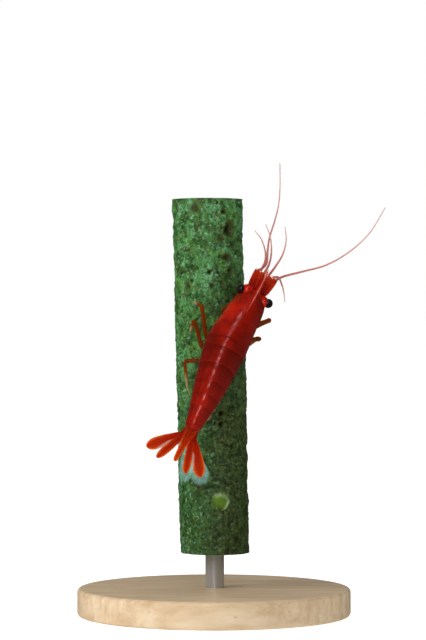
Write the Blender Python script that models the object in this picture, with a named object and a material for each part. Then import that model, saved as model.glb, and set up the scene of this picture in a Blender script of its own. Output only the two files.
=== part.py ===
"""Cherry shrimp clinging to a cut length of green stem, on a plain display stand.

Units are metres in the mesh and millimetres in the constants below. +Z is up and +X is
to the right of someone who faces the animal's back, who stands on the -Y side. The origin
is the middle of the base's underside.

The body is laid out along a spine curve. A place on the animal is given as (t, x, y):
t millimetres along the spine behind the eye sockets, x to the animal's right and y towards
its back. The stem has places of its own: an angle round it (0 faces -Y, positive towards
+X), a height and a lift off its bark.
"""
import math

import bmesh
import bpy
from mathutils import Vector, noise

# ---------------------------------------------------------------- driving sizes, mm
MM = 0.001
CUT = 0.12                       # width of the thin cuts between neighbouring pieces
FEELER = 0.25                    # radius of the thinnest feelers and claws

EYE_LINE = Vector((5.05, -6.1, 40.75))       # the spine's point between the eye sockets
HEADING = ((-6.0, 30.0), (5.5, 29.5), (8.0, 24.5), (10.0, 21.0), (13.0, 22.0), (18.0, 24.0),
           (20.0, 27.0), (22.0, 31.5))                    # spine's slant from the vertical, in degrees
PITCH = ((-6.0, 21.0), (8.0, 21.0), (11.0, 19.0), (15.0, 14.0), (19.7, 9.0), (22.0, 7.0))
# degrees that the back leans towards the animal's left
ROLL = ((-3.4, 3.0), (-1.2, -4.0), (2.0, -4.0), (6.0, 0.0), (10.0, 3.0), (20.0, 3.0))

CARAPACE_LENGTH = 7.5
SOMITE_LENGTHS = (1.3, 2.1, 2.2, 1.7, 1.5, 3.4)
HALF_WIDTH = ((0.0, 1.5), (0.5, 1.76), (1.2, 2.03), (3.2, 2.3), (5.4, 2.5), (7.7, 2.68),
              (9.4, 2.58), (11.2, 2.32), (13.2, 2.05), (15.7, 1.62), (17.9, 1.17), (19.7, 1.0))
BACK_HEIGHT = ((0.0, 1.4), (1.0, 1.82), (2.5, 2.26), (4.0, 2.53), (6.0, 2.7), (9.0, 2.62),
               (11.0, 2.38), (13.0, 2.02), (15.0, 1.62), (17.0, 1.28), (19.7, 0.95))
BELLY_DEPTH = ((0.0, 1.65), (1.0, 2.2), (2.5, 2.7), (4.0, 2.9), (6.0, 3.0), (7.6, 2.85),
               (9.4, 3.05), (11.0, 2.75), (13.0, 2.3), (15.0, 1.75), (16.4, 1.35), (19.7, 0.95))

ROSTRUM_LENGTH = 3.75
ROSTRUM_TEETH = 10
EYE_RADIUS = 0.47
EYE_REACH = 2.02                            # from the mid-line to the middle of an eye
STALK_ROOTS = {"l": (-0.2, -0.66, 0.6), "r": (0.0, 0.84, 0.66)}
SCALE_LENGTH = 2.75
TELSON_LENGTH = 3.9
UROPOD_LENGTH = 5.2

STEM_RADIUS = 4.45
STEM_BOTTOM = 8.0
STEM_TOP = 53.2
STEM_LEAN = 1.2                             # degrees, top towards -X
STEM_FOOT_X = 0.1                           # the axis at the stem's lower end
BASE_RADIUS = 17.5
BASE_HEIGHT = 3.5
ROD_RADIUS = 1.2
ROD_IN_BASE = 2.3
ROD_IN_STEM = 6.0
ROD_CLEARANCE = 0.1

SIDES = (("l", -1), ("r", 1))

COLOURS = {
    "shell": (0.30, 0.018, 0.008),
    "limb": (0.42, 0.06, 0.015),
    "fan": (0.55, 0.07, 0.01),
    "feeler": (0.60, 0.28, 0.24),
    "eye": (0.01, 0.008, 0.008),
    "stem": (0.06, 0.17, 0.055),
    "wood": (0.62, 0.50, 0.36),
    "steel": (0.62, 0.62, 0.63),
}


# ---------------------------------------------------------------- curves and frames
def along(table, t):
    """Smooth reading of a table of (station, value) pairs."""
    if t <= table[0][0]:
        return table[0][1]
    for (t0, v0), (t1, v1) in zip(table, table[1:]):
        if t <= t1:
            s = (t - t0) / (t1 - t0)
            before = table[max(table.index((t0, v0)) - 1, 0)]
            after = table[min(table.index((t1, v1)) + 1, len(table) - 1)]
            slope0 = (v1 - before[1]) / (t1 - before[0])
            slope1 = (after[1] - v0) / (after[0] - t0)
            width = t1 - t0
            return ((2 * s**3 - 3 * s**2 + 1) * v0 + (s**3 - 2 * s**2 + s) * width * slope0
                    + (3 * s**2 - 2 * s**3) * v1 + (s**3 - s**2) * width * slope1)
    return table[-1][1]


def spine_axes(t):
    """Rearward, right and back directions of the spine at t."""
    heading = math.radians(along(HEADING, t))
    pitch = math.radians(along(PITCH, t))
    roll = math.radians(along(ROLL, t))
    rear = Vector((-math.sin(heading) * math.cos(pitch), -math.sin(pitch),
                   -math.cos(heading) * math.cos(pitch)))
    back = Vector((math.sin(heading) * math.sin(pitch), -math.cos(pitch),
                   math.cos(heading) * math.sin(pitch)))
    right = (-rear).cross(back)
    turned_back = back * math.cos(roll) - right * math.sin(roll)
    turned_right = right * math.cos(roll) + back * math.sin(roll)
    return rear, turned_right, turned_back


SPINE_STEP = 0.1
SPINE_FIRST = -6.0


def trace_spine():
    """Points of the spine every SPINE_STEP, with the one at t = 0 on EYE_LINE."""
    points = [Vector((0.0, 0.0, 0.0))]
    for i in range(320):
        middle = SPINE_FIRST + (i + 0.5) * SPINE_STEP
        points.append(points[-1] + spine_axes(middle)[0] * SPINE_STEP)
    shift = EYE_LINE - points[round(-SPINE_FIRST / SPINE_STEP)]
    return [p + shift for p in points]


SPINE = trace_spine()


def on_body(t, x=0.0, y=0.0):
    """World point, in mm, of a place on the animal."""
    place = (t - SPINE_FIRST) / SPINE_STEP
    i = min(max(int(place), 0), len(SPINE) - 2)
    _, right, back = spine_axes(t)
    return SPINE[i] + (SPINE[i + 1] - SPINE[i]) * (place - i) + right * x + back * y


def stem_centre(z):
    return Vector((STEM_FOOT_X - (z - STEM_BOTTOM) * math.tan(math.radians(STEM_LEAN)), 0.0, z))


def on_stem(angle, z, lift):
    """World point, in mm, at an angle in degrees round the stem and a lift off its bark."""
    a = math.radians(angle)
    reach = STEM_RADIUS + lift
    return stem_centre(z) + Vector((math.sin(a) * reach, -math.cos(a) * reach, 0.0))


# ---------------------------------------------------------------- mesh helpers
def material(kind):
    name = "shrimp_" + kind
    found = bpy.data.materials.get(name)
    if found:
        return found
    made = bpy.data.materials.new(name)
    made.use_nodes = True
    shader = made.node_tree.nodes["Principled BSDF"]
    shader.inputs["Base Color"].default_value = (*COLOURS[kind], 1.0)
    shader.inputs["Roughness"].default_value = 0.6 if kind in ("stem", "wood") else 0.3
    shader.inputs["Metallic"].default_value = 1.0 if kind == "steel" else 0.0
    return made


def finish(bm, name, kind, sharp=50.0):
    """Turns a bmesh in mm into one named object in metres."""
    bmesh.ops.scale(bm, vec=(MM, MM, MM), verts=bm.verts)
    bmesh.ops.recalc_face_normals(bm, faces=bm.faces)
    mesh = bpy.data.meshes.new(name)
    bm.to_mesh(mesh)
    bm.free()
    mesh.shade_smooth()
    mesh.set_sharp_from_angle(angle=math.radians(sharp))
    mesh.materials.append(material(kind))
    made = bpy.data.objects.new(name, mesh)
    bpy.context.collection.objects.link(made)
    return made


def skin_rings(bm, rings):
    """Walls between rings of equal length, with a fan on each end."""
    loops = [[bm.verts.new(p) for p in ring] for ring in rings]
    count = len(loops[0])
    for a, b in zip(loops, loops[1:]):
        for i in range(count):
            j = (i + 1) % count
            bm.faces.new((a[i], a[j], b[j], b[i]))
    for loop in (loops[0], loops[-1]):
        middle = bm.verts.new(sum((v.co for v in loop), Vector()) / count)
        for i in range(count):
            bm.faces.new((loop[i], loop[(i + 1) % count], middle))


def loft(name, kind, rings, sharp=50.0):
    bm = bmesh.new()
    skin_rings(bm, rings)
    return finish(bm, name, kind, sharp)


def oval(centre, side, up, half_width, half_height, sides, power=1.0):
    """Closed ring of points; power under 1 makes the oval squarer."""
    ring = []
    for i in range(sides):
        a = 2.0 * math.pi * (i + 0.5) / sides
        cx = math.copysign(abs(math.cos(a)) ** power, math.cos(a))
        cy = math.copysign(abs(math.sin(a)) ** power, math.sin(a))
        ring.append(centre + side * (half_width * cx) + up * (half_height * cy))
    return ring


def sweep_rings(path, sizes, side_hint, sides, power=1.0):
    """Rings across a path; sizes are (half width, half height) at its points."""
    rings = []
    for i, point in enumerate(path):
        ahead = path[min(i + 1, len(path) - 1)]
        behind = path[max(i - 1, 0)]
        tangent = (ahead - behind).normalized()
        side = (side_hint - tangent * side_hint.dot(tangent)).normalized()
        up = tangent.cross(side)
        rings.append(oval(point, side, up, sizes[i][0], sizes[i][1], sides, power))
    return rings


def smooth_route(points, steps):
    """Catmull-Rom curve through a few points."""
    route = []
    padded = [points[0] * 2 - points[1]] + list(points) + [points[-1] * 2 - points[-2]]
    for a, b, c, d in zip(padded, padded[1:], padded[2:], padded[3:]):
        for k in range(steps):
            s = k / steps
            route.append(0.5 * ((2 * b) + (c - a) * s + (2 * a - 5 * b + 4 * c - d) * s * s
                                + (3 * b - a - 3 * c + d) * s**3))
    route.append(points[-1])
    return route


def jointed_limb(name, kind, joints, radii, side_hint, sides=8):
    """A limb of straight articles, each a little waisted, through its joints."""
    path = [joints[0]]
    sizes = [radii[0]]
    for i in range(len(joints) - 1):
        start, end = joints[i], joints[i + 1]
        length = (end - start).length
        bend = min(0.16, 0.2 * length)
        if i > 0:
            path.append(start.lerp(end, bend / length))
            sizes.append(radii[i])
        path.append(start.lerp(end, 0.5))
        sizes.append(0.5 * (radii[i] + radii[i + 1]))
        path.append(start.lerp(end, 1.0 - bend / length) if i < len(joints) - 2 else end)
        sizes.append(radii[i + 1])
    rings = sweep_rings(path, [(r, r) for r in sizes], side_hint, sides)
    return loft(name, kind, rings, sharp=60.0)


def blade(name, kind, path, widths, thickness, side_hint, sides=8):
    """A flat leaf along a path, with its half widths at the path's points."""
    count = len(path)
    sizes = [(w, thickness * 0.5 * (0.72 if i == count - 1 else 1.0)) for i, w in enumerate(widths)]
    return loft(name, kind, sweep_rings(path, sizes, side_hint, sides, power=0.7), sharp=60.0)


# ---------------------------------------------------------------- shell
def bump(value, centre, width):
    return math.exp(-((value - centre) / width) ** 2)


def shell_point(t, u, growth=1.0, lobe=1.0):
    """Point of the shell; u runs from -1 to 1 round it and is 0 on the back's mid-line."""
    a = math.pi * u
    across, height = math.sin(a), math.cos(a)
    width = along(HALF_WIDTH, t) * growth
    if height >= 0.0:
        y = along(BACK_HEIGHT, t) * growth * height ** 1.02
        x = width * math.copysign(abs(across) ** 1.06, across)
        y += 0.16 * bump(u, 0.0, 0.05) * max(0.0, 1.0 - t / 2.6)
    else:
        depth = abs(height) ** 0.72
        y = -along(BELLY_DEPTH, t) * growth * lobe * depth
        x = width * math.copysign(abs(across) ** 0.66, across) * (1.0 - 0.14 * depth**2)
    return on_body(t, x, y)


def side_share(u):
    """0 on the back's mid-line, 1 from the lower edge of the side plates onwards."""
    return min(1.0, abs(u) / 0.72)


CUTS = [CARAPACE_LENGTH]
for somite_length in SOMITE_LENGTHS:
    CUTS.append(CUTS[-1] + somite_length)
CUT_SWEEP = (0.55, -0.6, 0.55, 0.35, 0.3, 0.25, 0.0)     # how far a cut runs back on the sides


def cut_line(k, u):
    return CUTS[k] + CUT_SWEEP[k] * side_share(u) ** 2


def carapace_front(u):
    """Front margin: a notch for the eye, a spine under it and a rounded cheek corner."""
    v = abs(u)
    return 0.05 + 0.85 * bump(v, 0.355, 0.1) - 0.12 * bump(v, 0.46, 0.05) + 0.35 * bump(v, 0.85, 0.2)


def carapace():
    rings = []
    sides, steps = 24, 12
    for j in range(steps + 1):
        share = j / steps
        share = share ** 1.25
        ring = []
        for i in range(sides):
            u = -1.0 + 2.0 * i / sides
            front = carapace_front(u)
            rear = cut_line(0, u) - CUT / 2
            ring.append(shell_point(front + (rear - front) * share, u, 1.0 + 0.02 * share**6))
        rings.append(ring)
    loft("carapace", "shell", rings)


def somite(k):
    """Tail ring k from 1 to 6: narrower where it slips under the ring in front."""
    rings = []
    sides = 20
    steps = 6 if k == 6 else 4
    for j in range(steps + 1):
        share = j / steps
        growth = 0.955 + 0.065 * share ** 0.8
        lobe = 1.0 - 0.10 * (2.0 * share - 1.0) ** 2 if k < 6 else 1.0
        ring = []
        for i in range(sides):
            u = -1.0 + 2.0 * i / sides
            front = cut_line(k - 1, u) + CUT / 2
            rear = cut_line(k, u) - CUT / 2
            ring.append(shell_point(front + (rear - front) * share, u, growth, lobe))
        rings.append(ring)
    loft("somite_%d" % k, "shell", rings)


def rostrum():
    """Blade over the eyes with a saw edge on its back and two teeth below."""
    rings = []
    steps = 2 * ROSTRUM_TEETH
    for j in range(steps + 1):
        share = j / steps
        t = -CUT / 2 + 0.05 - (ROSTRUM_LENGTH + 0.05) * share
        tooth = 0.13 if j % 2 and j < steps else 0.0
        top = 1.43 + 0.08 * math.sin(math.pi * share) + tooth
        low = 0.78 + 0.52 * share**1.6
        half = 0.12 + 0.42 * math.exp(-4.2 * share) + 0.13 * (1.0 - share) ** 0.5
        middle = 0.5 * (top + low)
        ring = [on_body(t, 0.0, top), on_body(t, half * 0.8, 0.6 * top + 0.4 * middle),
                on_body(t, half, middle), on_body(t, half * 0.55, 0.7 * low + 0.3 * middle),
                on_body(t, 0.0, low), on_body(t, -half * 0.55, 0.7 * low + 0.3 * middle),
                on_body(t, -half, middle), on_body(t, -half * 0.8, 0.6 * top + 0.4 * middle)]
        rings.append(ring)
    loft("rostrum", "shell", rings, sharp=35.0)


# ---------------------------------------------------------------- head
def head_front():
    rings = []
    for t, half, top, low in ((-0.02, 1.15, 0.22, -1.35), (-0.45, 1.1, 0.22, -1.45),
                              (-0.85, 0.9, 0.15, -1.2)):
        middle, tall = 0.5 * (top + low), 0.5 * (top - low)
        _, right, back = spine_axes(t)
        rings.append(oval(on_body(t, 0.0, middle), right, back, half, tall, 14, 0.75))
    loft("head_front", "shell", rings)


def eye_and_stalk(tag, side):
    """Black eye, a ball cut flat where it meets the stalk that carries it."""
    root = on_body(*STALK_ROOTS[tag])
    centre = on_body(0.12 - side * 0.12, side * EYE_REACH, 0.62)
    axis = (centre - root).normalized()
    _, right, back = spine_axes(0.0)
    flat = -0.42
    rings = []
    for j in range(7):
        share = flat + (1.0 - flat) * (j / 6.0)
        share = min(share, 0.985)
        reach = EYE_RADIUS * math.sqrt(1.0 - share * share)
        rings.append((centre + axis * (EYE_RADIUS * share), reach))
    lift = axis.cross(right.cross(back)).normalized()
    turn = axis.cross(lift).normalized()
    loft("eye_" + tag, "eye", [oval(c, lift, turn, r, r, 14) for c, r in rings])
    stalk_end = centre + axis * (EYE_RADIUS * flat - CUT / 2)
    stations = ((0.0, 0.27), (0.35, 0.30), (0.75, 0.36), (1.0, 0.41))
    loft("eyestalk_" + tag, "shell",
         [oval(root.lerp(stalk_end, s), lift, turn, r, r, 12) for s, r in stations])


def antennule(tag, side):
    """Three-jointed peduncle under the rostrum and the two short feelers it carries."""
    joints = [on_body(-0.95, side * 0.46, -0.12), on_body(-2.05, side * 0.48, -0.05),
              on_body(-2.7, side * 0.5, 0.02), on_body(-3.25, side * 0.52, 0.06)]
    jointed_limb("antennule_" + tag, "limb", joints, (0.38, 0.36, 0.32, 0.30), spine_axes(-2.0)[1])


# routes of the feelers, as places on the animal
FEELER_ROUTES = {
    "antennule_feeler_l_outer": ((-3.34, -0.87, 0.32), (-4.55, -0.95, 0.6), (-5.75, -1.6, 0.9),
                                 (-6.8, -2.8, 1.2), (-7.2, -3.8, 1.4)),
    "antennule_feeler_l_inner": ((-3.34, -0.31, 0.32), (-4.7, -0.38, 0.5), (-6.2, -0.9, 0.7),
                                 (-7.8, -1.9, 0.7), (-9.0, -3.1, 0.6)),
    "antennule_feeler_r_outer": ((-3.34, 0.87, 0.32), (-3.55, 1.5, 0.6), (-2.75, 2.4, 0.9),
                                 (-1.9, 3.05, 1.1), (-1.2, 3.5, 1.2)),
    "antennule_feeler_r_inner": ((-3.34, 0.31, 0.32), (-4.8, 0.5, 0.6), (-6.4, 0.55, 1.0),
                                 (-8.1, 0.1, 1.4), (-9.5, -0.8, 1.6)),
    "antenna_l": ((-2.24, -1.12, -1.12), (-3.5, -1.4, -1.25), (-4.4, -0.95, -1.35),
                  (-5.4, -0.8, -1.45), (-7.1, -1.5, -1.6), (-8.8, -2.1, -1.7), (-11.2, -2.6, -1.6),
                  (-13.0, -3.1, -1.3), (-15.0, -4.0, -0.8), (-17.6, -5.5, 0.0)),
    "antenna_r": ((-2.24, 1.12, -1.12), (-3.4, 1.2, -1.15), (-4.6, 1.95, -0.8), (-6.3, 3.9, -0.1),
                  (-8.2, 6.0, 0.7), (-10.9, 7.7, 1.5), (-14.1, 8.8, 2.4), (-17.8, 9.0, 3.2)),
}


def feelers():
    for name, places in FEELER_ROUTES.items():
        route = smooth_route([on_body(*place) for place in places], 3)
        rings = sweep_rings(route, [(FEELER, FEELER)] * len(route), Vector((0.2, 1.0, 0.1)), 6)
        loft(name, "feeler", rings)


def antenna_base(tag, side):
    joints = [on_body(-0.95, side * 0.86, -1.0), on_body(-1.5, side * 1.0, -1.06),
              on_body(-2.1, side * 1.1, -1.08)]
    jointed_limb("antenna_base_" + tag, "limb", joints, (0.36, 0.34, 0.28), spine_axes(-2.0)[1])


def antennal_scale(tag, side):
    """Oblong plate beside the peduncles, blunt in front."""
    path = []
    widths = []
    for share, x, half in ((0.0, 1.24, 0.22), (0.2, 1.3, 0.36), (0.5, 1.34, 0.43),
                           (0.78, 1.32, 0.42), (0.94, 1.28, 0.31), (1.0, 1.26, 0.2)):
        path.append(on_body(-0.92 - SCALE_LENGTH * share, side * x, -0.42 + 0.12 * share))
        widths.append(half)
    blade("antennal_scale_" + tag, "fan", path, widths, 0.5, spine_axes(-2.0)[1])


def maxilliped(tag, side):
    joints = [on_body(0.55, side * 0.5, -2.45), on_body(-0.5, side * 0.58, -2.5),
              on_body(-1.9, side * 0.52, -2.15), on_body(-2.9, side * 0.45, -1.75)]
    jointed_limb("maxilliped_" + tag, "limb", joints, (0.27, 0.28, 0.25, 0.25), spine_axes(0.0)[1], 6)


# ---------------------------------------------------------------- legs
LEG_STATIONS = (1.55, 2.65, 3.7, 5.2, 6.4)         # along the spine, first to fifth pair
LEG_REACH = (0.85, 0.9, 1.15, 0.95, 0.85)         # of a hip from the mid-line
LEG_RADII = (0.33, 0.31, 0.27, 0.25, 0.25)
CLAW_LEG_RADII = (0.30, 0.29, 0.28, 0.33, 0.25)

# knee, wrist and tip of each walking leg: angle round the stem, height over the eye line
# and lift off the bark
WALKING_LEGS = {
    ("l", 3): ((-5.0, -5.3, 1.75), (-9.0, -1.2, 2.0), (-27.0, -0.6, 0.44)),
    ("l", 4): ((-11.0, -6.6, 0.78), (-22.0, -3.0, 1.0), (-33.0, -4.8, 0.42)),
    ("l", 5): ((-6.0, -8.1, 0.75), (-34.5, -8.2, 1.4), (-37.5, -12.6, 0.36)),
    ("r", 3): ((70.0, -3.0, 3.7), (88.0, -3.6, 1.6), (100.0, -4.4, 0.36)),
    ("r", 4): ((64.0, -5.4, 2.5), (86.0, -5.4, 1.5), (98.0, -6.5, 0.36)),
    ("r", 5): ((24.0, -7.2, 1.0), (23.0, -9.9, 0.95), (20.0, -11.8, 0.38)),
}
# the same for the short front legs, as places on the animal
CLAW_LEGS = {
    ("l", 1): ((0.5, -0.95, -3.4), (-0.8, -0.9, -3.35), (-1.9, -0.65, -3.05)),
    ("l", 2): ((2.8, -2.4, -2.75), (1.6, -1.9, -2.95), (0.4, -1.5, -3.3)),
    ("r", 1): ((0.4, 0.95, -3.35), (-0.9, 0.95, -3.3), (-2.0, 0.7, -3.0)),
    ("r", 2): ((1.6, 1.4, -4.3), (0.4, 1.35, -4.45), (-0.6, 1.1, -4.65)),
}


def hip(pair, side):
    """Root and hip of a leg under the thorax."""
    t = LEG_STATIONS[pair - 1]
    reach = LEG_REACH[pair - 1]
    floor = -along(BELLY_DEPTH, t)
    return [on_body(t, side * (reach - 0.05), floor - 0.16),
            on_body(t, side * (reach + 0.15), floor - 0.66)]


def legs():
    for tag, side in SIDES:
        for pair in (1, 2):
            ends = [on_body(*place) for place in CLAW_LEGS[(tag, pair)]]
            jointed_limb("claw_leg_%s_%d" % (tag, pair), "limb", hip(pair, side) + ends,
                         CLAW_LEG_RADII, spine_axes(2.0)[1])
        for pair in (3, 4, 5):
            ends = [on_stem(angle, EYE_LINE.z + height, lift)
                    for angle, height, lift in WALKING_LEGS[(tag, pair)]]
            jointed_limb("walking_leg_%s_%d" % (tag, pair), "limb", hip(pair, side) + ends,
                         LEG_RADII, spine_axes(4.0)[1])


def swimmeret(tag, side, k):
    """Paddle under tail ring k, swept towards the tail."""
    t = 0.5 * (CUTS[k - 1] + CUTS[k]) + 0.1
    floor = -along(BELLY_DEPTH, t)
    reach = along(HALF_WIDTH, t) * 0.42
    size = 0.7 if k == 1 else 1.0 - 0.11 * (k - 1)
    drop = 0.5 if k == 1 else size
    path = []
    widths = []
    for back, down, out, half in ((0.0, 0.14, 0.0, 0.26), (0.25, 0.6, 0.05, 0.3),
                                  (0.8, 1.15, 0.12, 0.5), (1.6, 1.6, 0.2, 0.55), (2.3, 1.9, 0.26, 0.25)):
        path.append(on_body(t + back * size, side * (reach + out), floor - 0.12 - down * drop))
        widths.append(half * (0.6 + 0.4 * size))
    blade("swimmeret_%s_%d" % (tag, k), "fan", path, widths, 0.5, spine_axes(t)[1], 6)


# ---------------------------------------------------------------- tail fan
FAN_START = CUTS[-1] + 1.4 * CUT
FAN_ANGLES = {"l": (-21.0, -41.5), "r": (17.5, 38.5)}     # inner and outer leaf, degrees


def fan_blade(name, length, angle, root_x, layer, widths, kind="fan"):
    """Leaf of the fan; layer is its height over the spine at the root and at the tip."""
    rear, right, back = spine_axes(FAN_START + 1.0)
    a = math.radians(angle)
    direction = rear * math.cos(a) + right * math.sin(a)
    root = on_body(FAN_START, root_x, layer[0])
    path = []
    for i, _ in enumerate(widths):
        share = i / (len(widths) - 1)
        share = 1.0 - (1.0 - share) ** 1.35
        rise = (layer[1] - layer[0]) * share**1.5
        path.append(root + direction * (length * share) + back * rise)
    across = right * math.cos(a) - rear * math.sin(a)
    blade(name, kind, path, widths, 0.5, across)


def tail_fan():
    fan_blade("telson", TELSON_LENGTH, 0.0, 0.0, (0.42, 0.25),
              (0.50, 0.52, 0.47, 0.40, 0.34, 0.28, 0.16), kind="shell")
    for tag, side in SIDES:
        inner, outer = FAN_ANGLES[tag]
        fan_blade("uropod_inner_" + tag, UROPOD_LENGTH * 0.93, inner, side * 0.44, (-0.18, -0.05),
                  (0.20, 0.30, 0.42, 0.50, 0.50, 0.38, 0.16))
        fan_blade("uropod_outer_" + tag, UROPOD_LENGTH, outer, side * 0.5, (-0.74, -0.35),
                  (0.20, 0.36, 0.54, 0.70, 0.76, 0.62, 0.26))


# ---------------------------------------------------------------- stem and stand
def stem():
    rings = []
    sides, steps = 24, 12
    for j in range(steps + 1):
        z = STEM_BOTTOM + (STEM_TOP - STEM_BOTTOM) * j / steps
        ring = []
        for i in range(sides):
            a = 2.0 * math.pi * i / sides
            around = Vector((math.sin(a), -math.cos(a), 0.0))
            swell = 0.22 * noise.noise(Vector((around.x * 1.4, around.y * 1.4, z * 0.16)))
            ring.append(stem_centre(z) + around * (STEM_RADIUS - 0.08 + swell))
        rings.append(ring)
    made = loft("perch_stem", "stem", rings, sharp=60.0)
    bore_through(made, STEM_BOTTOM - 1.0, STEM_BOTTOM + ROD_IN_STEM + ROD_CLEARANCE)


def bore_through(made, low, high):
    """Takes the rod's hole out of a piece."""
    bpy.ops.mesh.primitive_cylinder_add(vertices=24, radius=(ROD_RADIUS + ROD_CLEARANCE) * MM,
                                        depth=(high - low) * MM,
                                        location=(STEM_FOOT_X * MM, 0.0, 0.5 * (low + high) * MM))
    cutter = bpy.context.active_object
    cutter.name = "rod_hole_cutter"
    cut = made.modifiers.new("rod_hole", "BOOLEAN")
    cut.operation = "DIFFERENCE"
    cut.solver = "EXACT"
    cut.object = cutter
    bpy.context.view_layer.objects.active = made
    bpy.ops.object.modifier_apply(modifier=cut.name)
    bpy.data.objects.remove(cutter)


def turned(name, kind, profile, sides, x=0.0):
    """Solid of revolution about the vertical through x, from (radius, height) pairs."""
    rings = []
    for radius, z in profile:
        ring = []
        for i in range(sides):
            a = 2.0 * math.pi * i / sides
            ring.append(Vector((x + radius * math.cos(a), radius * math.sin(a), z)))
        rings.append(ring)
    return loft(name, kind, rings, sharp=30.0)


def stand():
    edge = 0.5
    base = turned("stand_base", "wood", ((BASE_RADIUS - edge, 0.0), (BASE_RADIUS, edge),
                                         (BASE_RADIUS, BASE_HEIGHT - edge),
                                         (BASE_RADIUS - edge, BASE_HEIGHT)), 40)
    bore_through(base, BASE_HEIGHT - ROD_IN_BASE - ROD_CLEARANCE, BASE_HEIGHT + 1.0)
    rod_low = BASE_HEIGHT - ROD_IN_BASE
    rod_high = STEM_BOTTOM + ROD_IN_STEM
    turned("stand_rod", "steel", ((ROD_RADIUS - 0.15, rod_low), (ROD_RADIUS, rod_low + 0.15),
                                  (ROD_RADIUS, rod_high - 0.15), (ROD_RADIUS - 0.15, rod_high)),
           24, STEM_FOOT_X)


# ---------------------------------------------------------------- assembly
def build():
    for old in list(bpy.data.objects):
        bpy.data.objects.remove(old)
    carapace()
    rostrum()
    head_front()
    for k in range(1, 7):
        somite(k)
    for tag, side in SIDES:
        eye_and_stalk(tag, side)
        antennule(tag, side)
        antenna_base(tag, side)
        antennal_scale(tag, side)
        maxilliped(tag, side)
        for k in range(1, 6):
            swimmeret(tag, side, k)
    feelers()
    legs()
    tail_fan()
    stem()
    stand()


build()
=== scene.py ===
# %% [markdown]
# # A cherry shrimp on a stem
# This lesson dresses the plain solids of a life-size model shrimp. The solids fix where each
# part is. The lesson gives each part the form and the finish of the living animal: thin shell
# plates that overlap, jointed legs, beaded feelers, fringed tail leaves and a bumpy green stem.

# %% Load the solids
import math

import bmesh
import bpy
import numpy as np
from mathutils import Matrix, Vector


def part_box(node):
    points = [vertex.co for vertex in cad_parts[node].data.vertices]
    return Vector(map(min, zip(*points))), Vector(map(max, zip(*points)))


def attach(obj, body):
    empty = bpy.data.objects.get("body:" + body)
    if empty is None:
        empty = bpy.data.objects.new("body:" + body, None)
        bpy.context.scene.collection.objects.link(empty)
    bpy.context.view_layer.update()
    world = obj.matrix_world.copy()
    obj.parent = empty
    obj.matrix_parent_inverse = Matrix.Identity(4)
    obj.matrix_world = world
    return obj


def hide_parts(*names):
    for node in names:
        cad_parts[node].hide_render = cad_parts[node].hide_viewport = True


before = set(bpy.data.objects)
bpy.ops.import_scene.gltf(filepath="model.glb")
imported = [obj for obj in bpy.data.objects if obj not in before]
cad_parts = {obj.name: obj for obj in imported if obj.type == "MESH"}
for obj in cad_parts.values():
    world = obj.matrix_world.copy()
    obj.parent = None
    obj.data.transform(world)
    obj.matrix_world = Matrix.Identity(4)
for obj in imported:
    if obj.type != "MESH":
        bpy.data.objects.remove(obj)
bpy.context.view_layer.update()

MM = 0.001                       # the sizes below are in millimetres, the meshes in metres

# %% [markdown]
# ## A body drawn along a spine
# A shrimp's body is a row of rings on one curved line, so the easiest map of it is a bent one:
# t is the distance along the spine behind the eye sockets, x is to the animal's right and y
# towards its back. Working straight in world coordinates would need every ring turned by
# hand. The tables are the ones that the solids were made with, so each piece lands on its own.

# %% The spine's tables
EYE_LINE = (5.05, -6.1, 40.75)
HEADING = ((-6.0, 30.0), (5.5, 29.5), (8.0, 24.5), (10.0, 21.0), (13.0, 22.0), (18.0, 24.0),
           (20.0, 27.0), (22.0, 31.5))
PITCH = ((-6.0, 21.0), (8.0, 21.0), (11.0, 19.0), (15.0, 14.0), (19.7, 9.0), (22.0, 7.0))
ROLL = ((-3.4, 3.0), (-1.2, -4.0), (2.0, -4.0), (6.0, 0.0), (10.0, 3.0), (20.0, 3.0))
HALF_WIDTH = ((0.0, 1.5), (0.5, 1.76), (1.2, 2.03), (3.2, 2.3), (5.4, 2.5), (7.7, 2.68),
              (9.4, 2.58), (11.2, 2.32), (13.2, 2.05), (15.7, 1.62), (17.9, 1.17), (19.7, 1.0))
BACK_HEIGHT = ((0.0, 1.4), (1.0, 1.82), (2.5, 2.26), (4.0, 2.53), (6.0, 2.7), (9.0, 2.62),
               (11.0, 2.38), (13.0, 2.02), (15.0, 1.62), (17.0, 1.28), (19.7, 0.95))
BELLY_DEPTH = ((0.0, 1.65), (1.0, 2.2), (2.5, 2.7), (4.0, 2.9), (6.0, 3.0), (7.6, 2.85),
               (9.4, 3.05), (11.0, 2.75), (13.0, 2.3), (15.0, 1.75), (16.4, 1.35), (19.7, 0.95))
CARAPACE_LENGTH = 7.5
SOMITE_LENGTHS = (1.3, 2.1, 2.2, 1.7, 1.5, 3.4)
CUTS = CARAPACE_LENGTH + np.concatenate([[0.0], np.cumsum(SOMITE_LENGTHS)])
CUT_SWEEP = (0.55, -0.6, 0.55, 0.35, 0.3, 0.25, 0.0)
print("tail rings start at", np.round(CUTS, 1), "mm behind the eyes")

# %% Reading the tables smoothly
def along(table, t):
    """Smooth reading of (station, value) pairs at every t."""
    station, value = np.array(table, float).T
    slope = np.empty_like(value)
    slope[1:-1] = (value[2:] - value[:-2]) / (station[2:] - station[:-2])
    slope[0] = (value[1] - value[0]) / (station[1] - station[0])
    slope[-1] = (value[-1] - value[-2]) / (station[-1] - station[-2])
    t = np.clip(t, station[0], station[-1])
    i = np.clip(np.searchsorted(station, t, side="right") - 1, 0, len(station) - 2)
    width = station[i + 1] - station[i]
    s = (t - station[i]) / width
    return ((2 * s**3 - 3 * s**2 + 1) * value[i] + (s**3 - 2 * s**2 + s) * width * slope[i]
            + (3 * s**2 - 2 * s**3) * value[i + 1] + (s**3 - s**2) * width * slope[i + 1])


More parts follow.
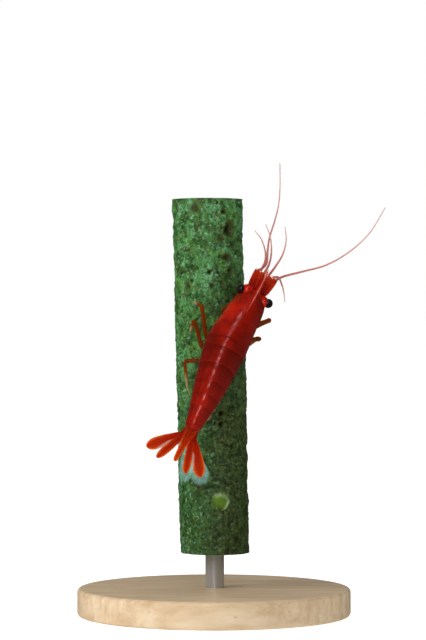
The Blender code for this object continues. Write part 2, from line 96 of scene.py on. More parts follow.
def unit(vectors):
    """The same directions, each one unit long."""
    vectors = np.asarray(vectors, float)
    return vectors / np.linalg.norm(vectors, axis=-1, keepdims=True)


print("half width 5 mm behind the eyes:", round(float(along(HALF_WIDTH, 5.0)), 2), "mm")

# %% The spine in space
def spine_axes(t):
    """Unit vectors to the rear, to the animal's right and to its back."""
    heading, pitch = np.radians(along(HEADING, t)), np.radians(along(PITCH, t))
    roll = np.radians(along(ROLL, t))[..., None]
    rear = np.stack([-np.sin(heading) * np.cos(pitch), -np.sin(pitch),
                     -np.cos(heading) * np.cos(pitch)], -1)
    back = np.stack([np.sin(heading) * np.sin(pitch), -np.cos(pitch),
                     np.cos(heading) * np.sin(pitch)], -1)
    right = np.cross(-rear, back)
    return (rear, right * np.cos(roll) + back * np.sin(roll),
            back * np.cos(roll) - right * np.sin(roll))


SPINE_FIRST, SPINE_STEP = -6.0, 0.1
middles = SPINE_FIRST + (np.arange(320) + 0.5) * SPINE_STEP
SPINE = np.vstack([np.zeros((1, 3)), np.cumsum(spine_axes(middles)[0] * SPINE_STEP, axis=0)])
SPINE += np.array(EYE_LINE) - SPINE[round(-SPINE_FIRST / SPINE_STEP)]


def on_body(t, x=0.0, y=0.0):
    """World points, in metres, of places on the animal."""
    t, x, y = np.broadcast_arrays(np.asarray(t, float), x, y)
    place = (t - SPINE_FIRST) / SPINE_STEP
    i = np.clip(place.astype(int), 0, len(SPINE) - 2)
    _, right, back = spine_axes(t)
    middle = SPINE[i] + (SPINE[i + 1] - SPINE[i]) * (place - i)[..., None]
    return (middle + right * x[..., None] + back * y[..., None]) * MM


print("spine runs from", np.round(on_body(-4.0) / MM, 1), "to", np.round(on_body(22.0) / MM, 1))

# %% [markdown]
# ## Three ways to make a closed mesh
# Nearly everything here is one of three closed forms. A tube is skinned over rings. A plate
# is two sheets joined round their edge, which is how a real shell plate is made: thin, with
# an edge that catches the light. An article is one short stretch of a limb, narrow where it
# is tucked into its neighbour. Each is worked out as arrays of points, which is quicker and
# more exact than moving vertices with modifiers.

# %% Tubes
def grid_faces(rows, columns, closed):
    """Quads between the points of a grid, row by row; closed wraps round the columns."""
    index = np.arange(rows * columns).reshape(rows, columns)
    if closed:
        index = np.hstack([index, index[:, :1]])
    return np.stack([index[:-1, :-1], index[:-1, 1:], index[1:, 1:], index[1:, :-1]],
                    -1).reshape(-1, 4).tolist()


def tube(rings):
    """Closed skin over rings of points, with a fan on each end."""
    rows, columns = rings.shape[:2]
    ends = np.stack([rings[0].mean(0), rings[-1].mean(0)])
    points = np.vstack([rings.reshape(-1, 3), ends])
    faces = grid_faces(rows, columns, True)
    last = (rows - 1) * columns
    for i in range(columns):
        j = (i + 1) % columns
        faces.append([j, i, rows * columns])
        faces.append([last + i, last + j, rows * columns + 1])
    return points, faces


trial = tube(np.array([[(0, 0, z), (1, 0, z), (1, 1, z), (0, 1, z)] for z in (0, 1)], float))
print("a tube over two rings of four:", len(trial[0]), "points,", len(trial[1]), "faces")

# %% Plates and joins
def plate(outer, inner):
    """Closed thin plate between an outer and an inner sheet of points."""
    rows, columns = outer.shape[:2]
    size = rows * columns
    points = np.vstack([outer.reshape(-1, 3), inner.reshape(-1, 3)])
    faces = grid_faces(rows, columns, False)
    faces += [[size + d, size + c, size + b, size + a] for a, b, c, d in faces]
    index = np.arange(size).reshape(rows, columns)
    edge = np.concatenate([index[0, :-1], index[:-1, -1], index[-1, :0:-1], index[:0:-1, 0]])
    for a, b in zip(edge, np.roll(edge, -1)):
        faces.append([int(b), int(a), int(a + size), int(b + size)])
    return points, faces


def join(shapes):
    """Several closed shapes as one."""
    points, faces, start = [], [], 0
    for some_points, some_faces in shapes:
        points.append(some_points)
        faces += [[i + start for i in face] for face in some_faces]
        start += len(some_points)
    return np.vstack(points), faces


print("that tube twice:", len(join([trial, trial])[1]), "faces")


# %% Swept rods
def frames(path, hint):
    """Side and up vectors across a path."""
    tangent = unit(np.gradient(path, axis=0))
    side = unit(hint - tangent * (tangent @ hint)[:, None])
    return side, np.cross(tangent, side)


def sweep(path, widths, heights, hint, sides=16):
    """Tube of oval rings along a path; half widths and heights in metres."""
    side, up = frames(path, hint)
    a = 2 * np.pi * np.arange(sides) / sides
    rings = (path[:, None] + side[:, None] * (np.cos(a)[None, :, None] * widths[:, None, None])
             + up[:, None] * (np.sin(a)[None, :, None] * heights[:, None, None]))
    return tube(rings)


trial = sweep(np.linspace((0, 0, 0), (0, 0, MM), 2), np.full(2, MM), np.full(2, MM), np.eye(3)[0])
print("one plain rod:", len(trial[0]), "points,", len(trial[1]), "faces")

# %% Limb articles and claws
ARTICLE = ((0.0, 0.45), (0.03, 0.72), (0.14, 0.95), (0.5, 1.0), (0.84, 1.0), (0.94, 1.08),
           (0.985, 0.95), (1.0, 0.55))       # share of the length, share of the radius
ARTICLE_SIDE = np.array([0.3, 1.0, 0.2])     # slants across every limb, so it fixes its side


def article(start, end, r_start, r_end, flat=1.0, bow=0.0):
    """One stretch of a limb between two joints, bowed sideways by a share of its length."""
    share = np.concatenate([np.linspace(0, 0.14, 6), np.linspace(0.2, 0.8, 9),
                            np.linspace(0.84, 1.0, 8)])
    start, end = np.asarray(start, float), np.asarray(end, float)
    path = start + (end - start) * share[:, None]
    length = np.linalg.norm(end - start)
    _, up = frames(path, ARTICLE_SIDE)
    path = path + up * (bow * length * np.sin(np.pi * share))[:, None]
    radius = (r_start + (r_end - r_start) * share) * MM * along(ARTICLE, share)
    return sweep(path, radius, radius * flat, ARTICLE_SIDE)


def limb(joints, radii, **form):
    """Articles end to end through the joints, with the radii at the joints."""
    return [article(a, b, r, s, **form) for a, b, r, s in zip(joints, joints[1:], radii, radii[1:])]


def claw(start, end, radius, curl=(0.0, 0.0, 0.0)):
    """A spike from a joint to a point, curled by up to that many millimetres."""
    share = np.linspace(0, 1, 14)
    path = start + (end - start) * share[:, None] + np.asarray(curl) * np.sin(
        np.pi * share)[:, None] * MM
    thick = radius * MM * (1 - share ** 1.6 * 0.94)
    return sweep(path, thick, thick, np.array([0.31, 1.0, 0.17]), sides=12)


trial = article((0, 0, 0), (0, 0, 3 * MM), 0.3, 0.25)
print("one article:", len(trial[0]), "points,", len(trial[1]), "faces")

# %% Turning a shape into a piece
pieces = []
SIDES = (("l", -1), ("r", 1))    # the animal's left and right, and the sign of x there


def put(name, data):
    """New object of that data in the scene."""
    made = bpy.data.objects.new(name, data)
    bpy.context.collection.objects.link(made)
    return made


def face_outwards(mesh):
    """Turns the front of every face to the outside."""
    bm = bmesh.new()
    bm.from_mesh(mesh)
    bmesh.ops.recalc_face_normals(bm, faces=bm.faces)
    bm.to_mesh(mesh)
    bm.free()


def piece(name, shape, finish, slot, *nodes, sharp=38.0):
    """Named object at the origin that stands for some of the solids."""
    points, faces = shape
    mesh = bpy.data.meshes.new(name)
    mesh.from_pydata(points.tolist(), [], faces)
    face_outwards(mesh)
    mesh.shade_smooth()
    mesh.set_sharp_from_angle(angle=math.radians(sharp))
    mesh.materials.append(finish)
    made = put(name, mesh)
    pieces.append((made, slot, nodes))
    return made


def mark(made, name, values):
    """Writes a number for each point of a piece, which its finish reads; the rest stay 0."""
    layer = made.data.attributes.new(name, "FLOAT", "POINT")
    values = np.asarray(values, np.float32).ravel()
    layer.data.foreach_set("value", np.pad(values, (0, len(layer.data) - len(values))))
    return made


print("pieces so far:", len(pieces))

# %% [markdown]
# ## Finishes
# A living shrimp's shell is chitin: a clear horn with red pigment under it, wet and glossy.
# Each finish starts from the real material's own numbers, an index of refraction of about
# 1.55 for chitin and 1.36 for eye lens, and its pattern is sized in millimetres. The leaves of
# the tail, the legs and the feelers are so thin that light from behind shines through them,
# so those mix a translucent shader in.

# %% Colour
def linear(hex_colour):
    """sRGB hex to the linear colour that shaders work in."""
    channels = [int(hex_colour[i:i + 2], 16) / 255 for i in (1, 3, 5)]
    return (*[c / 12.92 if c <= 0.04045 else ((c + 0.055) / 1.055) ** 2.4 for c in channels], 1.0)


print("cherry red in linear light:", [round(c, 3) for c in linear("#7e190e")])

# %% Adding nodes
def add(tree, kind, inputs=None, **settings):
    """Adds a node with its settings, values and links; a node is linked by its first output."""
    node = tree.nodes.new(kind)
    for name, value in settings.items():
        setattr(node, name, value)
    for key, value in (inputs or {}).items():
        if isinstance(value, bpy.types.Node):
            value = next(socket for socket in value.outputs if socket.enabled)
        if isinstance(value, bpy.types.NodeSocket):
            tree.links.new(value, node.inputs[key])
        else:
            node.inputs[key].default_value = value
    return node


def set_stops(ramp, stops):
    """Gives a colour ramp its (position, hex) stops."""
    elements = ramp.color_ramp.elements
    while len(elements) < len(stops):
        elements.new(0.5)
    for element, (position, colour) in zip(elements, stops):
        element.position = position
        element.color = linear(colour)


def new_finish(name):
    """Material with an empty node tree."""
    made = bpy.data.materials.new(name)
    made.use_nodes = True
    made.node_tree.nodes.clear()
    return made, made.node_tree


def skin_over(tree, colour, relief, strength, depth, numbers):
    """Skin of a colour over a bump that follows the relief, its depth in mm."""
    bump = add(tree, "ShaderNodeBump",
               {"Height": relief, "Strength": strength, "Distance": depth * MM})
    return add(tree, "ShaderNodeBsdfPrincipled", {"Base Color": colour, "Normal": bump, **numbers})


print("node helpers ready")

# %% [markdown]
# ### Shell
# Pigment cells lie under the clear shell in two sizes. Broad clouds a couple of millimetres
# wide make the red deeper or brighter, and separate cells about 0.2 mm wide make a fine
# speckle; they are drawn at 0.35 mm so that they show. The wet skin is glossy over a slightly
# wavy bump with ripples about 1.3 mm wide, and the stalks wear a clear coat as well.

# %% Chitin shell
def shell_finish(name, deep, middle, bright, speck, roughness=0.23, coat=0.05):
    """Shell with clouds of pigment and small cells; darker with denser pigment and painted shade,
    paler where a painted highlight runs along the crest.
    """
    made, tree = new_finish(name)
    place = add(tree, "ShaderNodeTexCoord").outputs["Object"]
    clouds = add(tree, "ShaderNodeTexNoise",
                 {"Vector": place, "Scale": 1 / (1.9 * MM), "Detail": 3.0, "Roughness": 0.55})
    colour = add(tree, "ShaderNodeValToRGB", {"Fac": clouds})
    set_stops(colour, ((0.35, deep), (0.5, middle), (0.66, bright)))
    cells = add(tree, "ShaderNodeTexVoronoi", {"Vector": place, "Scale": 1 / (0.35 * MM)})
    dots = add(tree, "ShaderNodeMapRange",
               {"Value": cells, "From Min": 0.12, "From Max": 0.34, "To Min": 0.45, "To Max": 0.0})
    pigment_and_shade, pale_tip_and_ridge_highlight = [add(tree, "ShaderNodeAttribute", attribute_name=stored).outputs["Fac"]
                     for stored in ("pigment_and_shade", "pale_tip_and_ridge_highlight")]
    # the speck paint darkens with denser pigment and painted shade; the pale pink is mostly a
    # painted highlight along the crest, and the blade's own paler tip
    for share, paint in ((dots, speck), (pigment_and_shade, speck), (pale_tip_and_ridge_highlight, "#cc6c5c")):
        colour = add(tree, "ShaderNodeMix", {0: share, 6: colour, 7: linear(paint)},
                     data_type="RGBA")
    ripples = add(tree, "ShaderNodeTexNoise",
                  {"Vector": place, "Scale": 1 / (1.3 * MM), "Detail": 2.0})
    skin = skin_over(tree, colour, ripples, 0.75, 0.11, {
        "Roughness": roughness, "IOR": 1.55, "Specular Tint": (1.0, 0.5, 0.48, 1.0),
        "Coat Weight": coat, "Coat Roughness": 0.15, "Coat IOR": 1.3, "Subsurface Weight": 0.15,
        "Subsurface Radius": (1.0, 0.18, 0.08), "Subsurface Scale": 0.5 * MM})
    add(tree, "ShaderNodeOutputMaterial", {"Surface": skin})
    return made


SHELL = shell_finish("chitin_shell", "#860f02", "#9e1403", "#b41a04", "#5c0a02")
FLESH = shell_finish("shrimp_flesh", "#7a2010", "#932a14", "#a8381c", "#5f150d", 0.4)
STALK = shell_finish("chitin_stalk", "#a81806", "#b81e07", "#cc2c0c", "#8c160c", 0.14, 0.6)
print("shell finishes:", SHELL.name, FLESH.name, STALK.name)

# %% [markdown]
# ### Thin skins
# Leaves, scales, legs and feelers share one recipe: pigment that fades from a deep root colour
# to a paler tip, a glossy front and a share of light let through from behind. The fade reads
# an attribute called tip, 0 at the root and 1 at the end, that each piece carries itself.

# %% Translucent chitin
def thin_finish(name, root, middle, tip, through, share, roughness=0.3, grain=0.5):
    """Thin horn: a fade from root to tip, and light let through from behind."""
    made, tree = new_finish(name)
    place = add(tree, "ShaderNodeTexCoord").outputs["Object"]
    end = add(tree, "ShaderNodeAttribute", attribute_name="tip").outputs["Fac"]
    clouds = add(tree, "ShaderNodeTexNoise",
                 {"Vector": place, "Scale": 1 / (grain * MM), "Detail": 3.0})
    sway = add(tree, "ShaderNodeMath", {0: clouds, 1: 0.5}, operation="SUBTRACT")
    fade = add(tree, "ShaderNodeMath", {0: sway, 1: 0.5, 2: end}, operation="MULTIPLY_ADD")
    ramp = add(tree, "ShaderNodeValToRGB", {"Fac": fade})
    set_stops(ramp, ((0.05, root), (0.5, middle), (0.95, tip)))
    skin = skin_over(tree, ramp, clouds, 0.4, 0.03, {
        "Roughness": roughness, "IOR": 1.5, "Specular IOR Level": 0.3,
        "Specular Tint": (1.0, 0.55, 0.4, 1.0)})
    glow = add(tree, "ShaderNodeBsdfTranslucent", {"Color": linear(through)})
    both = add(tree, "ShaderNodeMixShader", {0: share, 1: skin, 2: glow})
    add(tree, "ShaderNodeOutputMaterial", {"Surface": both})
    return made


FAN = thin_finish("tail_leaf_chitin", "#6e1504", "#8c3305", "#dc8020", "#ff6a08", 0.57, 0.35)
SCALE = thin_finish("feeler_scale_chitin", "#981806", "#b02c08", "#d4581a", "#ff5a08", 0.4, 0.45)
BASE_LIMB = thin_finish("peduncle_chitin", "#841006", "#981a07", "#b4380f", "#ff5008", 0.3, 0.4)
LIMB = thin_finish("leg_chitin", "#522504", "#723a0d", "#949a70", "#f09a40", 0.4, 0.18, 0.25)
PADDLE = thin_finish("swimmeret_chitin", "#861c0a", "#a43010", "#b85430", "#ff6a30", 0.35)
FEELER = thin_finish("feeler_chitin", "#b46458", "#cf948a", "#e2c4bc", "#ffc8bc", 0.35, 0.35)
print("thin finishes:", FAN.name, SCALE.name, BASE_LIMB.name, LIMB.name, PADDLE.name, FEELER.name)

# %% [markdown]
# ### Bristles
# A bristle is clear and catches light from all round. Where bristles lie too close to tell
# apart, one thin web stands for them: it is clear too, with a haze that thins out towards its
# edge in streaks that follow the bristles. The haze and the fan's fringe glow with painted
# light, standing in for the light that the bristles scatter.

# %% Clear bristles
def bristle_finish(name, colour, painted_glow, clear):
    """Clear hair; its emission is painted light, a glow standing in for light caught from all
    round, and clear is the share it lets by.
    """
    made, tree = new_finish(name)
    hair = add(tree, "ShaderNodeBsdfPrincipled",
               {"Base Color": linear(colour), "Roughness": 0.6,
                "IOR": 1.4, "Emission Color": linear(colour), "Emission Strength": painted_glow})
    glow = add(tree, "ShaderNodeBsdfTranslucent", {"Color": linear(colour)})
    lit = add(tree, "ShaderNodeMixShader", {0: 0.25, 1: hair, 2: glow})
    clear_part = add(tree, "ShaderNodeBsdfTransparent")
    both = add(tree, "ShaderNodeMixShader", {0: clear, 1: lit, 2: clear_part})
    add(tree, "ShaderNodeOutputMaterial", {"Surface": both})
    return made


BRISTLE = bristle_finish("bristle_chitin", "#c8a898", 0.0, 0.6)
# the fan's fringe glows with painted light, standing in for light scattered through it
FRINGE = bristle_finish("fan_fringe_chitin", "#c0fff0", 0.8, 0.95)
print("bristle finishes:", BRISTLE.name, FRINGE.name)

# %% The web
def web_finish():
    """Feathered bristles too close to tell apart: a clear haze that glows with painted light,
    streaked the way they lie.
    """
    made, tree = new_finish("fan_fringe_web")
    reach, strand = [add(tree, "ShaderNodeAttribute", attribute_name=stored).outputs["Fac"]
                     for stored in ("tip", "strand")]
    streaks = add(tree, "ShaderNodeTexNoise", {"W": strand, "Scale": 1 / 0.22, "Detail": 1.0},
                  noise_dimensions="1D")
    sway = add(tree, "ShaderNodeMath", {0: streaks, 1: 0.5}, operation="SUBTRACT")
    frayed = add(tree, "ShaderNodeMath", {0: sway, 1: 0.35, 2: reach}, operation="MULTIPLY_ADD")
    clear = add(tree, "ShaderNodeMapRange",
                {"Value": frayed, "From Min": 0.5, "From Max": 1.0, "To Min": 0.92, "To Max": 1.0},
                interpolation_type="SMOOTHSTEP")
    # the haze glows with painted light, standing in for light scattered through the bristles
    haze = add(tree, "ShaderNodeBsdfPrincipled",
               {"Base Color": linear("#101818"), "Roughness": 0.8, "Specular IOR Level": 0.0,
                "Emission Color": linear("#c0fff8"), "Emission Strength": 1.2})
    gone = add(tree, "ShaderNodeBsdfTransparent")
    both = add(tree, "ShaderNodeMixShader", {0: clear, 1: haze, 2: gone})
    add(tree, "ShaderNodeOutputMaterial", {"Surface": both})
    return made


WEB = web_finish()
print("web finish:", WEB.name)

# %% [markdown]
# ### Eyes
# The eye is a ball of tiny lenses over black pigment. The lenses are about 0.02 mm wide, too
# fine to show, so the cells of the bump are 0.05 mm.

# %% Compound eye
def eye_finish():
    """Dark glossy eye with a bump for every lens."""
    made, tree = new_finish("compound_eye")
    place = add(tree, "ShaderNodeTexCoord").outputs["Object"]
    lenses = add(tree, "ShaderNodeTexVoronoi", {"Vector": place, "Scale": 1 / (0.05 * MM)})
    haze = add(tree, "ShaderNodeTexNoise", {"Vector": place, "Scale": 1 / (0.4 * MM)})
    ramp = add(tree, "ShaderNodeValToRGB", {"Fac": haze})
    set_stops(ramp, ((0.4, "#0a0808"), (0.7, "#241713")))
    skin = skin_over(tree, ramp, lenses, 0.35, -0.012, {
        "Roughness": 0.3, "IOR": 1.36, "Coat Weight": 0.3, "Coat Roughness": 0.1})
    add(tree, "ShaderNodeOutputMaterial", {"Surface": skin})
    return made


EYE = eye_finish()
print("eye finish:", EYE.name)

# %% [markdown]
# ## Bristles and beads
# Two things repeat all over a shrimp: bristles, which fringe every leaf and leg, and the short
# articles that make up a feeler. Modelling them one by one would take thousands of objects, so
# one Geometry Nodes tree plants bristles on points and another threads articles on a line. The
# points carry where each bristle leans, how long and how stout it is.

# %% Opening and closing a tree
def open_tree(name, result, **sockets):
    """New tree with one result; hands back the tree, its inputs and the inputs' identifiers."""
    tree = bpy.data.node_groups.new(name, "GeometryNodeTree")
    keys = {key: tree.interface.new_socket(key, in_out="INPUT",
                                           socket_type="NodeSocket" + kind).identifier
            for key, kind in sockets.items()}
    tree.interface.new_socket(result, in_out="OUTPUT", socket_type="NodeSocketGeometry")
    return tree, add(tree, "NodeGroupInput").outputs, keys


def close_tree(tree, grown, result, finish):
    """Makes the grown geometry real, gives it its finish and hands it out."""
    real = add(tree, "GeometryNodeRealizeInstances", {"Geometry": grown})
    painted = add(tree, "GeometryNodeSetMaterial", {"Geometry": real, "Material": finish})
    add(tree, "NodeGroupOutput", {result: painted})


print("tree helpers ready")

# %% The bristle tree
def bristle_tree():
    """Stands a thin spike on every point, leaning and as long as the point says."""
    tree, given, keys = open_tree("plant_bristles", "Bristles", Points="Geometry",
                                  Thickness="Float", Spread="Float", Seed="Int", Finish="Material")
    lean = add(tree, "GeometryNodeInputNamedAttribute", {"Name": "lean"}, data_type="FLOAT_VECTOR")
    reach, stout = [add(tree, "GeometryNodeInputNamedAttribute", {"Name": stored})
                    for stored in ("reach", "stout")]
    stray = add(tree, "FunctionNodeRandomValue", {"Min": (-1.0,) * 3, "Max": (1.0,) * 3,
                                                  "Seed": given["Seed"]}, data_type="FLOAT_VECTOR")
    tilt = add(tree, "ShaderNodeVectorMath", {0: stray, "Scale": given["Spread"]},
               operation="SCALE")
    way = add(tree, "ShaderNodeVectorMath", {0: lean, 1: tilt}, operation="ADD")
    turn = add(tree, "FunctionNodeAlignRotationToVector", {"Vector": way}, axis="Z")
    uneven = add(tree, "FunctionNodeRandomValue", {"Min": 0.82, "Max": 1.08, "Seed": given["Seed"]},
                 data_type="FLOAT")
    long = add(tree, "ShaderNodeMath", {0: reach, 1: uneven}, operation="MULTIPLY")
    wide = add(tree, "ShaderNodeMath", {0: stout, 1: given["Thickness"]}, operation="MULTIPLY")
    size = add(tree, "ShaderNodeCombineXYZ", {0: wide, 1: wide, 2: long})
    spike = add(tree, "GeometryNodeMeshCone",
                {"Vertices": 4, "Radius Top": 0.2, "Radius Bottom": 0.5, "Depth": 1.0})
    points = add(tree, "GeometryNodeMeshToPoints", {"Mesh": given["Points"]})
    planted = add(tree, "GeometryNodeInstanceOnPoints",
                  {"Points": points, "Instance": spike, "Rotation": turn, "Scale": size})
    close_tree(tree, planted, "Bristles", given["Finish"])
    return tree, keys


BRISTLES = bristle_tree()
print("bristle tree inputs:", BRISTLES[1])

# %% The bead tree, for feelers
def bead_tree():
    """Threads overlapping articles on a line, as thick as the line says."""
    tree, given, keys = open_tree("thread_articles", "Feeler", Line="Geometry", Article="Float",
                                  Overlap="Float", Finish="Material")
    line = add(tree, "GeometryNodeMeshToCurve", {"Mesh": given["Line"]})
    stations = add(tree, "GeometryNodeResampleCurve", {"Curve": line, "Length": given["Article"]},
                   mode="LENGTH")
    thick = add(tree, "GeometryNodeInputNamedAttribute", {"Name": "thick"})
    turn = add(tree, "FunctionNodeAlignRotationToVector",
               {"Vector": add(tree, "GeometryNodeInputTangent")}, axis="Z")
    deep = add(tree, "ShaderNodeMath", {0: given["Article"], 1: given["Overlap"]},
               operation="MULTIPLY")
    size = add(tree, "ShaderNodeCombineXYZ", {0: thick, 1: thick, 2: deep})
    bead = add(tree, "GeometryNodeMeshCone", {"Vertices": 10, "Side Segments": 2, "Radius Top": 1.0,
                                              "Radius Bottom": 0.84, "Depth": 1.0})
    threaded = add(tree, "GeometryNodeInstanceOnPoints",
                   {"Points": stations, "Instance": bead, "Rotation": turn, "Scale": size})
    close_tree(tree, threaded, "Feeler", given["Finish"])
    return tree, keys


BEADS = bead_tree()
print("bead tree inputs:", BEADS[1])

# %% Running a tree to a plain mesh
def run_tree(name, points, edges, attributes, kit, inputs, slot, *nodes, faces=()):
    """Feeds a mesh and its points' attributes to a tree and keeps the result as a plain piece."""
    tree, keys = kit
    seed = bpy.data.meshes.new(name + "_points")
    seed.from_pydata(np.asarray(points).tolist(), edges, faces)
    seed.shade_smooth()
    for key, values in attributes.items():
        values = np.asarray(values, np.float32)
        kind, field = ("FLOAT_VECTOR", "vector") if values.ndim == 2 else ("FLOAT", "value")
        layer = seed.attributes.new(key, kind, "POINT")
        layer.data.foreach_set(field, values.ravel())
    carrier = put(name + "_carrier", seed)
    grown = carrier.modifiers.new("grow", "NODES")
    grown.node_group = tree
    for key, value in inputs.items():
        grown[keys[key]] = value
    bpy.context.view_layer.update()
    mesh = bpy.data.meshes.new_from_object(carrier.evaluated_get(
        bpy.context.evaluated_depsgraph_get()))
    mesh.name = name
    bpy.data.objects.remove(carrier)
    made = put(name, mesh)
    pieces.append((made, slot, nodes))
    return made


print("tree runner ready")

# %% Rows of bristles
def bristles(name, points, lean, reach, slot, stout=1.0, thickness=0.035, spread=0.12, seed=1,
             finish=BRISTLE):
    """Plants a bristle on each point; lean is its way out and reach its length in mm."""
    count = len(points)
    values = {"lean": unit(np.broadcast_to(lean, (count, 3))),
              "reach": np.broadcast_to(reach, count) * MM, "stout": np.full(count, stout)}
    return run_tree(name, points, [], values, BRISTLES,
                    {"Thickness": thickness * MM, "Spread": spread, "Seed": seed, "Finish": finish},
                    slot)


def stacked(rows):
    """Several rows of (points, leans, reaches) as one of each."""
    return [np.concatenate(part) for part in zip(*rows)]


print("bristles are planted with the", BRISTLES[0].name, "tree")

# %% [markdown]
# ## Shell plates
# The shell is a set of overlapping plates, like roof tiles: each one's rear edge stands a hair
# proud of the next. The side plates of the second tail ring overlap both neighbours, which is
# the mark of this family of shrimps. A single skin with grooves would be easier, but the thin
# lifted edges and the shadow under them are what make a shrimp look jointed.

# %% Bumps and steps
def bump_at(value, centre, width):
    """Smooth bump of height 1 at a centre."""
    return np.exp(-((value - centre) / width) ** 2)


def smooth(value, low, high):
    """Smooth step from 0 at low to 1 at high."""
    s = np.clip((value - low) / (high - low), 0.0, 1.0)
    return s * s * (3 - 2 * s)


print("a step a quarter of the way up its run stands at", round(float(smooth(0.25, 0, 1)), 3))

# %% Section of the body
def shell(t, u, growth=1.0, lobe=1.0, lift=0.0):
    """Points of the shell; u runs round it from -1 to 1 and is 0 on the back's mid-line."""
    across, height = np.sin(np.pi * u), np.cos(np.pi * u)
    width = along(HALF_WIDTH, t) * growth
    rise = np.abs(height)
    depth = rise ** 0.72
    keel = 0.16 * bump_at(u, 0.0, 0.05) * np.clip(1.0 - t / 2.6, 0.0, None)
    y = np.where(height >= 0, along(BACK_HEIGHT, t) * growth * rise ** 1.02 + keel,
                 -along(BELLY_DEPTH, t) * growth * lobe * depth)
    x = width * np.sign(across) * np.where(height >= 0, np.abs(across) ** 1.06,
                                           np.abs(across) ** 0.66 * (1.0 - 0.14 * depth ** 2))
    return on_body(t, x + lift * across, y + lift * height)


def pigment_and_shade(t, u):
    """Pigment densest behind the middle, with painted light paler over the carapace's left and
    along the mid-line, and painted shade darker down the right flank and the tail's left flank;
    darker too round the front.
    """
    # painted light: paler over the carapace's left and along the back's mid-line round the wet
    # streak
    thin = 0.55 * bump_at(t, 4.3, 1.7) * smooth(-u, 0.02, 0.25) + 0.2 * bump_at(u, -0.02, 0.09)
    # painted shade down the right flank and the tail's left flank, and darker round the front of
    # the carapace
    flank = (0.12 * smooth(u, 0.05, 0.3) + 0.45 * smooth(-u, 0.08, 0.25) * bump_at(t, 9.7, 2.4)
             + (0.3 * smooth(t, 12.5, 14.5) + 0.2 * bump_at(t, 1.9, 0.7)) * smooth(-u, 0.08, 0.25)
             + 0.28 * bump_at(t, 1.8, 1.8) * smooth(u, 0.0, 0.15) + 0.22 * bump_at(t, 0.5, 0.6))
    return np.clip(0.4 + 0.4 * bump_at(t, 10.0, 3.4) + flank - thin, 0, 0.95)


print("top of the back over the heart, mm:", np.round(shell(np.array(6.0), 0.0) / MM, 1))

# %% Margins of the plates
def side_share(u):
    """How far down the side a place is, from 0 on the back to 1 at the lower edge."""
    return np.minimum(1.0, np.abs(u) / 0.72)


def cut_line(k, u):
    """Place along the spine of the cut behind ring k."""
    return CUTS[k] + CUT_SWEEP[k] * side_share(u) ** 2


def carapace_front(u):
    """Front margin: a notch for the eye, a spine under it and a rounded cheek corner."""
    v = np.abs(u)
    return (0.05 + 0.85 * bump_at(v, 0.30, 0.15) - 0.12 * bump_at(v, 0.46, 0.05)
            - 0.3 * bump_at(v, 0.475, 0.018) + 0.5 * smooth(v, 0.6, 0.8) ** 2)


print("the eye notch reaches", round(float(carapace_front(0.3)), 2), "mm behind the eye line")

# %% Carapace
rows, columns = 120, 200
share = np.linspace(0, 1, rows)[:, None] ** 1.15
lower = 0.74 + 0.02 * np.sin(np.pi * share)
u = np.linspace(-1, 1, columns)[None, :] * lower
front, rear = carapace_front(u), cut_line(0, u) + 0.06
t = front + (rear - front) * share
groove = -0.022 * bump_at(t, 3.1 + 1.6 * np.abs(u), 0.3) * smooth(np.abs(u), 0.12, 0.3)
edge = 0.008 * (bump_at(share, 0.0, 0.02) + bump_at(np.abs(u), lower, 0.02))
crease = 0.014 * bump_at(np.abs(u), 0.47, 0.05) * bump_at(t, 0.6, 1.4)
hump = 0.006 * share ** 6 + 0.014 * bump_at(t, 2.5, 0.8) + 0.014 * bump_at(t, 5.9, 0.8)
outer = shell(t, u, 1.0 + hump, 1.0, groove + edge + crease)
inner = shell(t, u, 0.982 + hump, 1.0, groove)
carapace = piece("carapace_shell", plate(outer, inner), SHELL, "shell", "carapace")
mark(carapace, "pigment_and_shade", np.tile(pigment_and_shade(t, u), (2, 1)))
print("carapace:", len(carapace.data.polygons), "faces")

# %% Tail rings
def tail_ring(k, rows=44, columns=150):
    """Outer and inner sheets of tail ring k, from 1 to 6."""
    share = np.linspace(0, 1, rows)[:, None]
    if k < 6:
        lower = 0.60 + 0.15 * np.sin(np.pi * np.clip(share * 1.04 - 0.02, 0, 1)) ** 0.55
    else:
        lower = 0.76 - 0.04 * share
    u = np.linspace(-1, 1, columns)[None, :] * lower
    side = smooth(np.abs(u), 0.28, 0.5)
    front = cut_line(k - 1, u) - 0.28 + (0.2 * side if k == 2 else 0.0)
    rear = cut_line(k, u) + (0.07 if k < 6 else -0.4)
    t = front + (rear - front) * share
    tuck = 0.026 if k < 6 else 0.022
    if k == 2:
        tuck = tuck * (1.0 - 1.5 * side)
    growth = 1.0 - tuck * (1.0 - smooth(share, 0.02, 0.26)) + 0.003 * smooth(share, 0.8, 0.97)
    growth = growth + 0.055 * np.sin(np.pi * share) * bump_at(u, 0.0, 0.16) * (k < 6)
    if k == 1:
        growth = growth - 0.02 * side * smooth(share, 0.3, 0.8)
    if k == 3:
        growth = growth - 0.018 * side * (1.0 - smooth(share, 0.1, 0.5))
    if k == 6:
        growth = growth - 0.2 * smooth(share, 0.75, 1.0) ** 2
    edge = 0.004 * (bump_at(share, 1.0, 0.03) + bump_at(np.abs(u), lower, 0.02))
    # pigment and painted shade, plus a band: darker at the front of each ring, where it tucks under
    # the ring ahead, and paler at its rear margin
    ring_pigment_and_shade = pigment_and_shade(t, u) + 0.2 * (1 - smooth(share, 0.16, 0.6)) - 0.15 * smooth(share, 0.8, 0.99)
    return shell(t, u, growth, 1.0, edge), shell(t, u, growth - 0.02), np.clip(ring_pigment_and_shade, 0, 1)


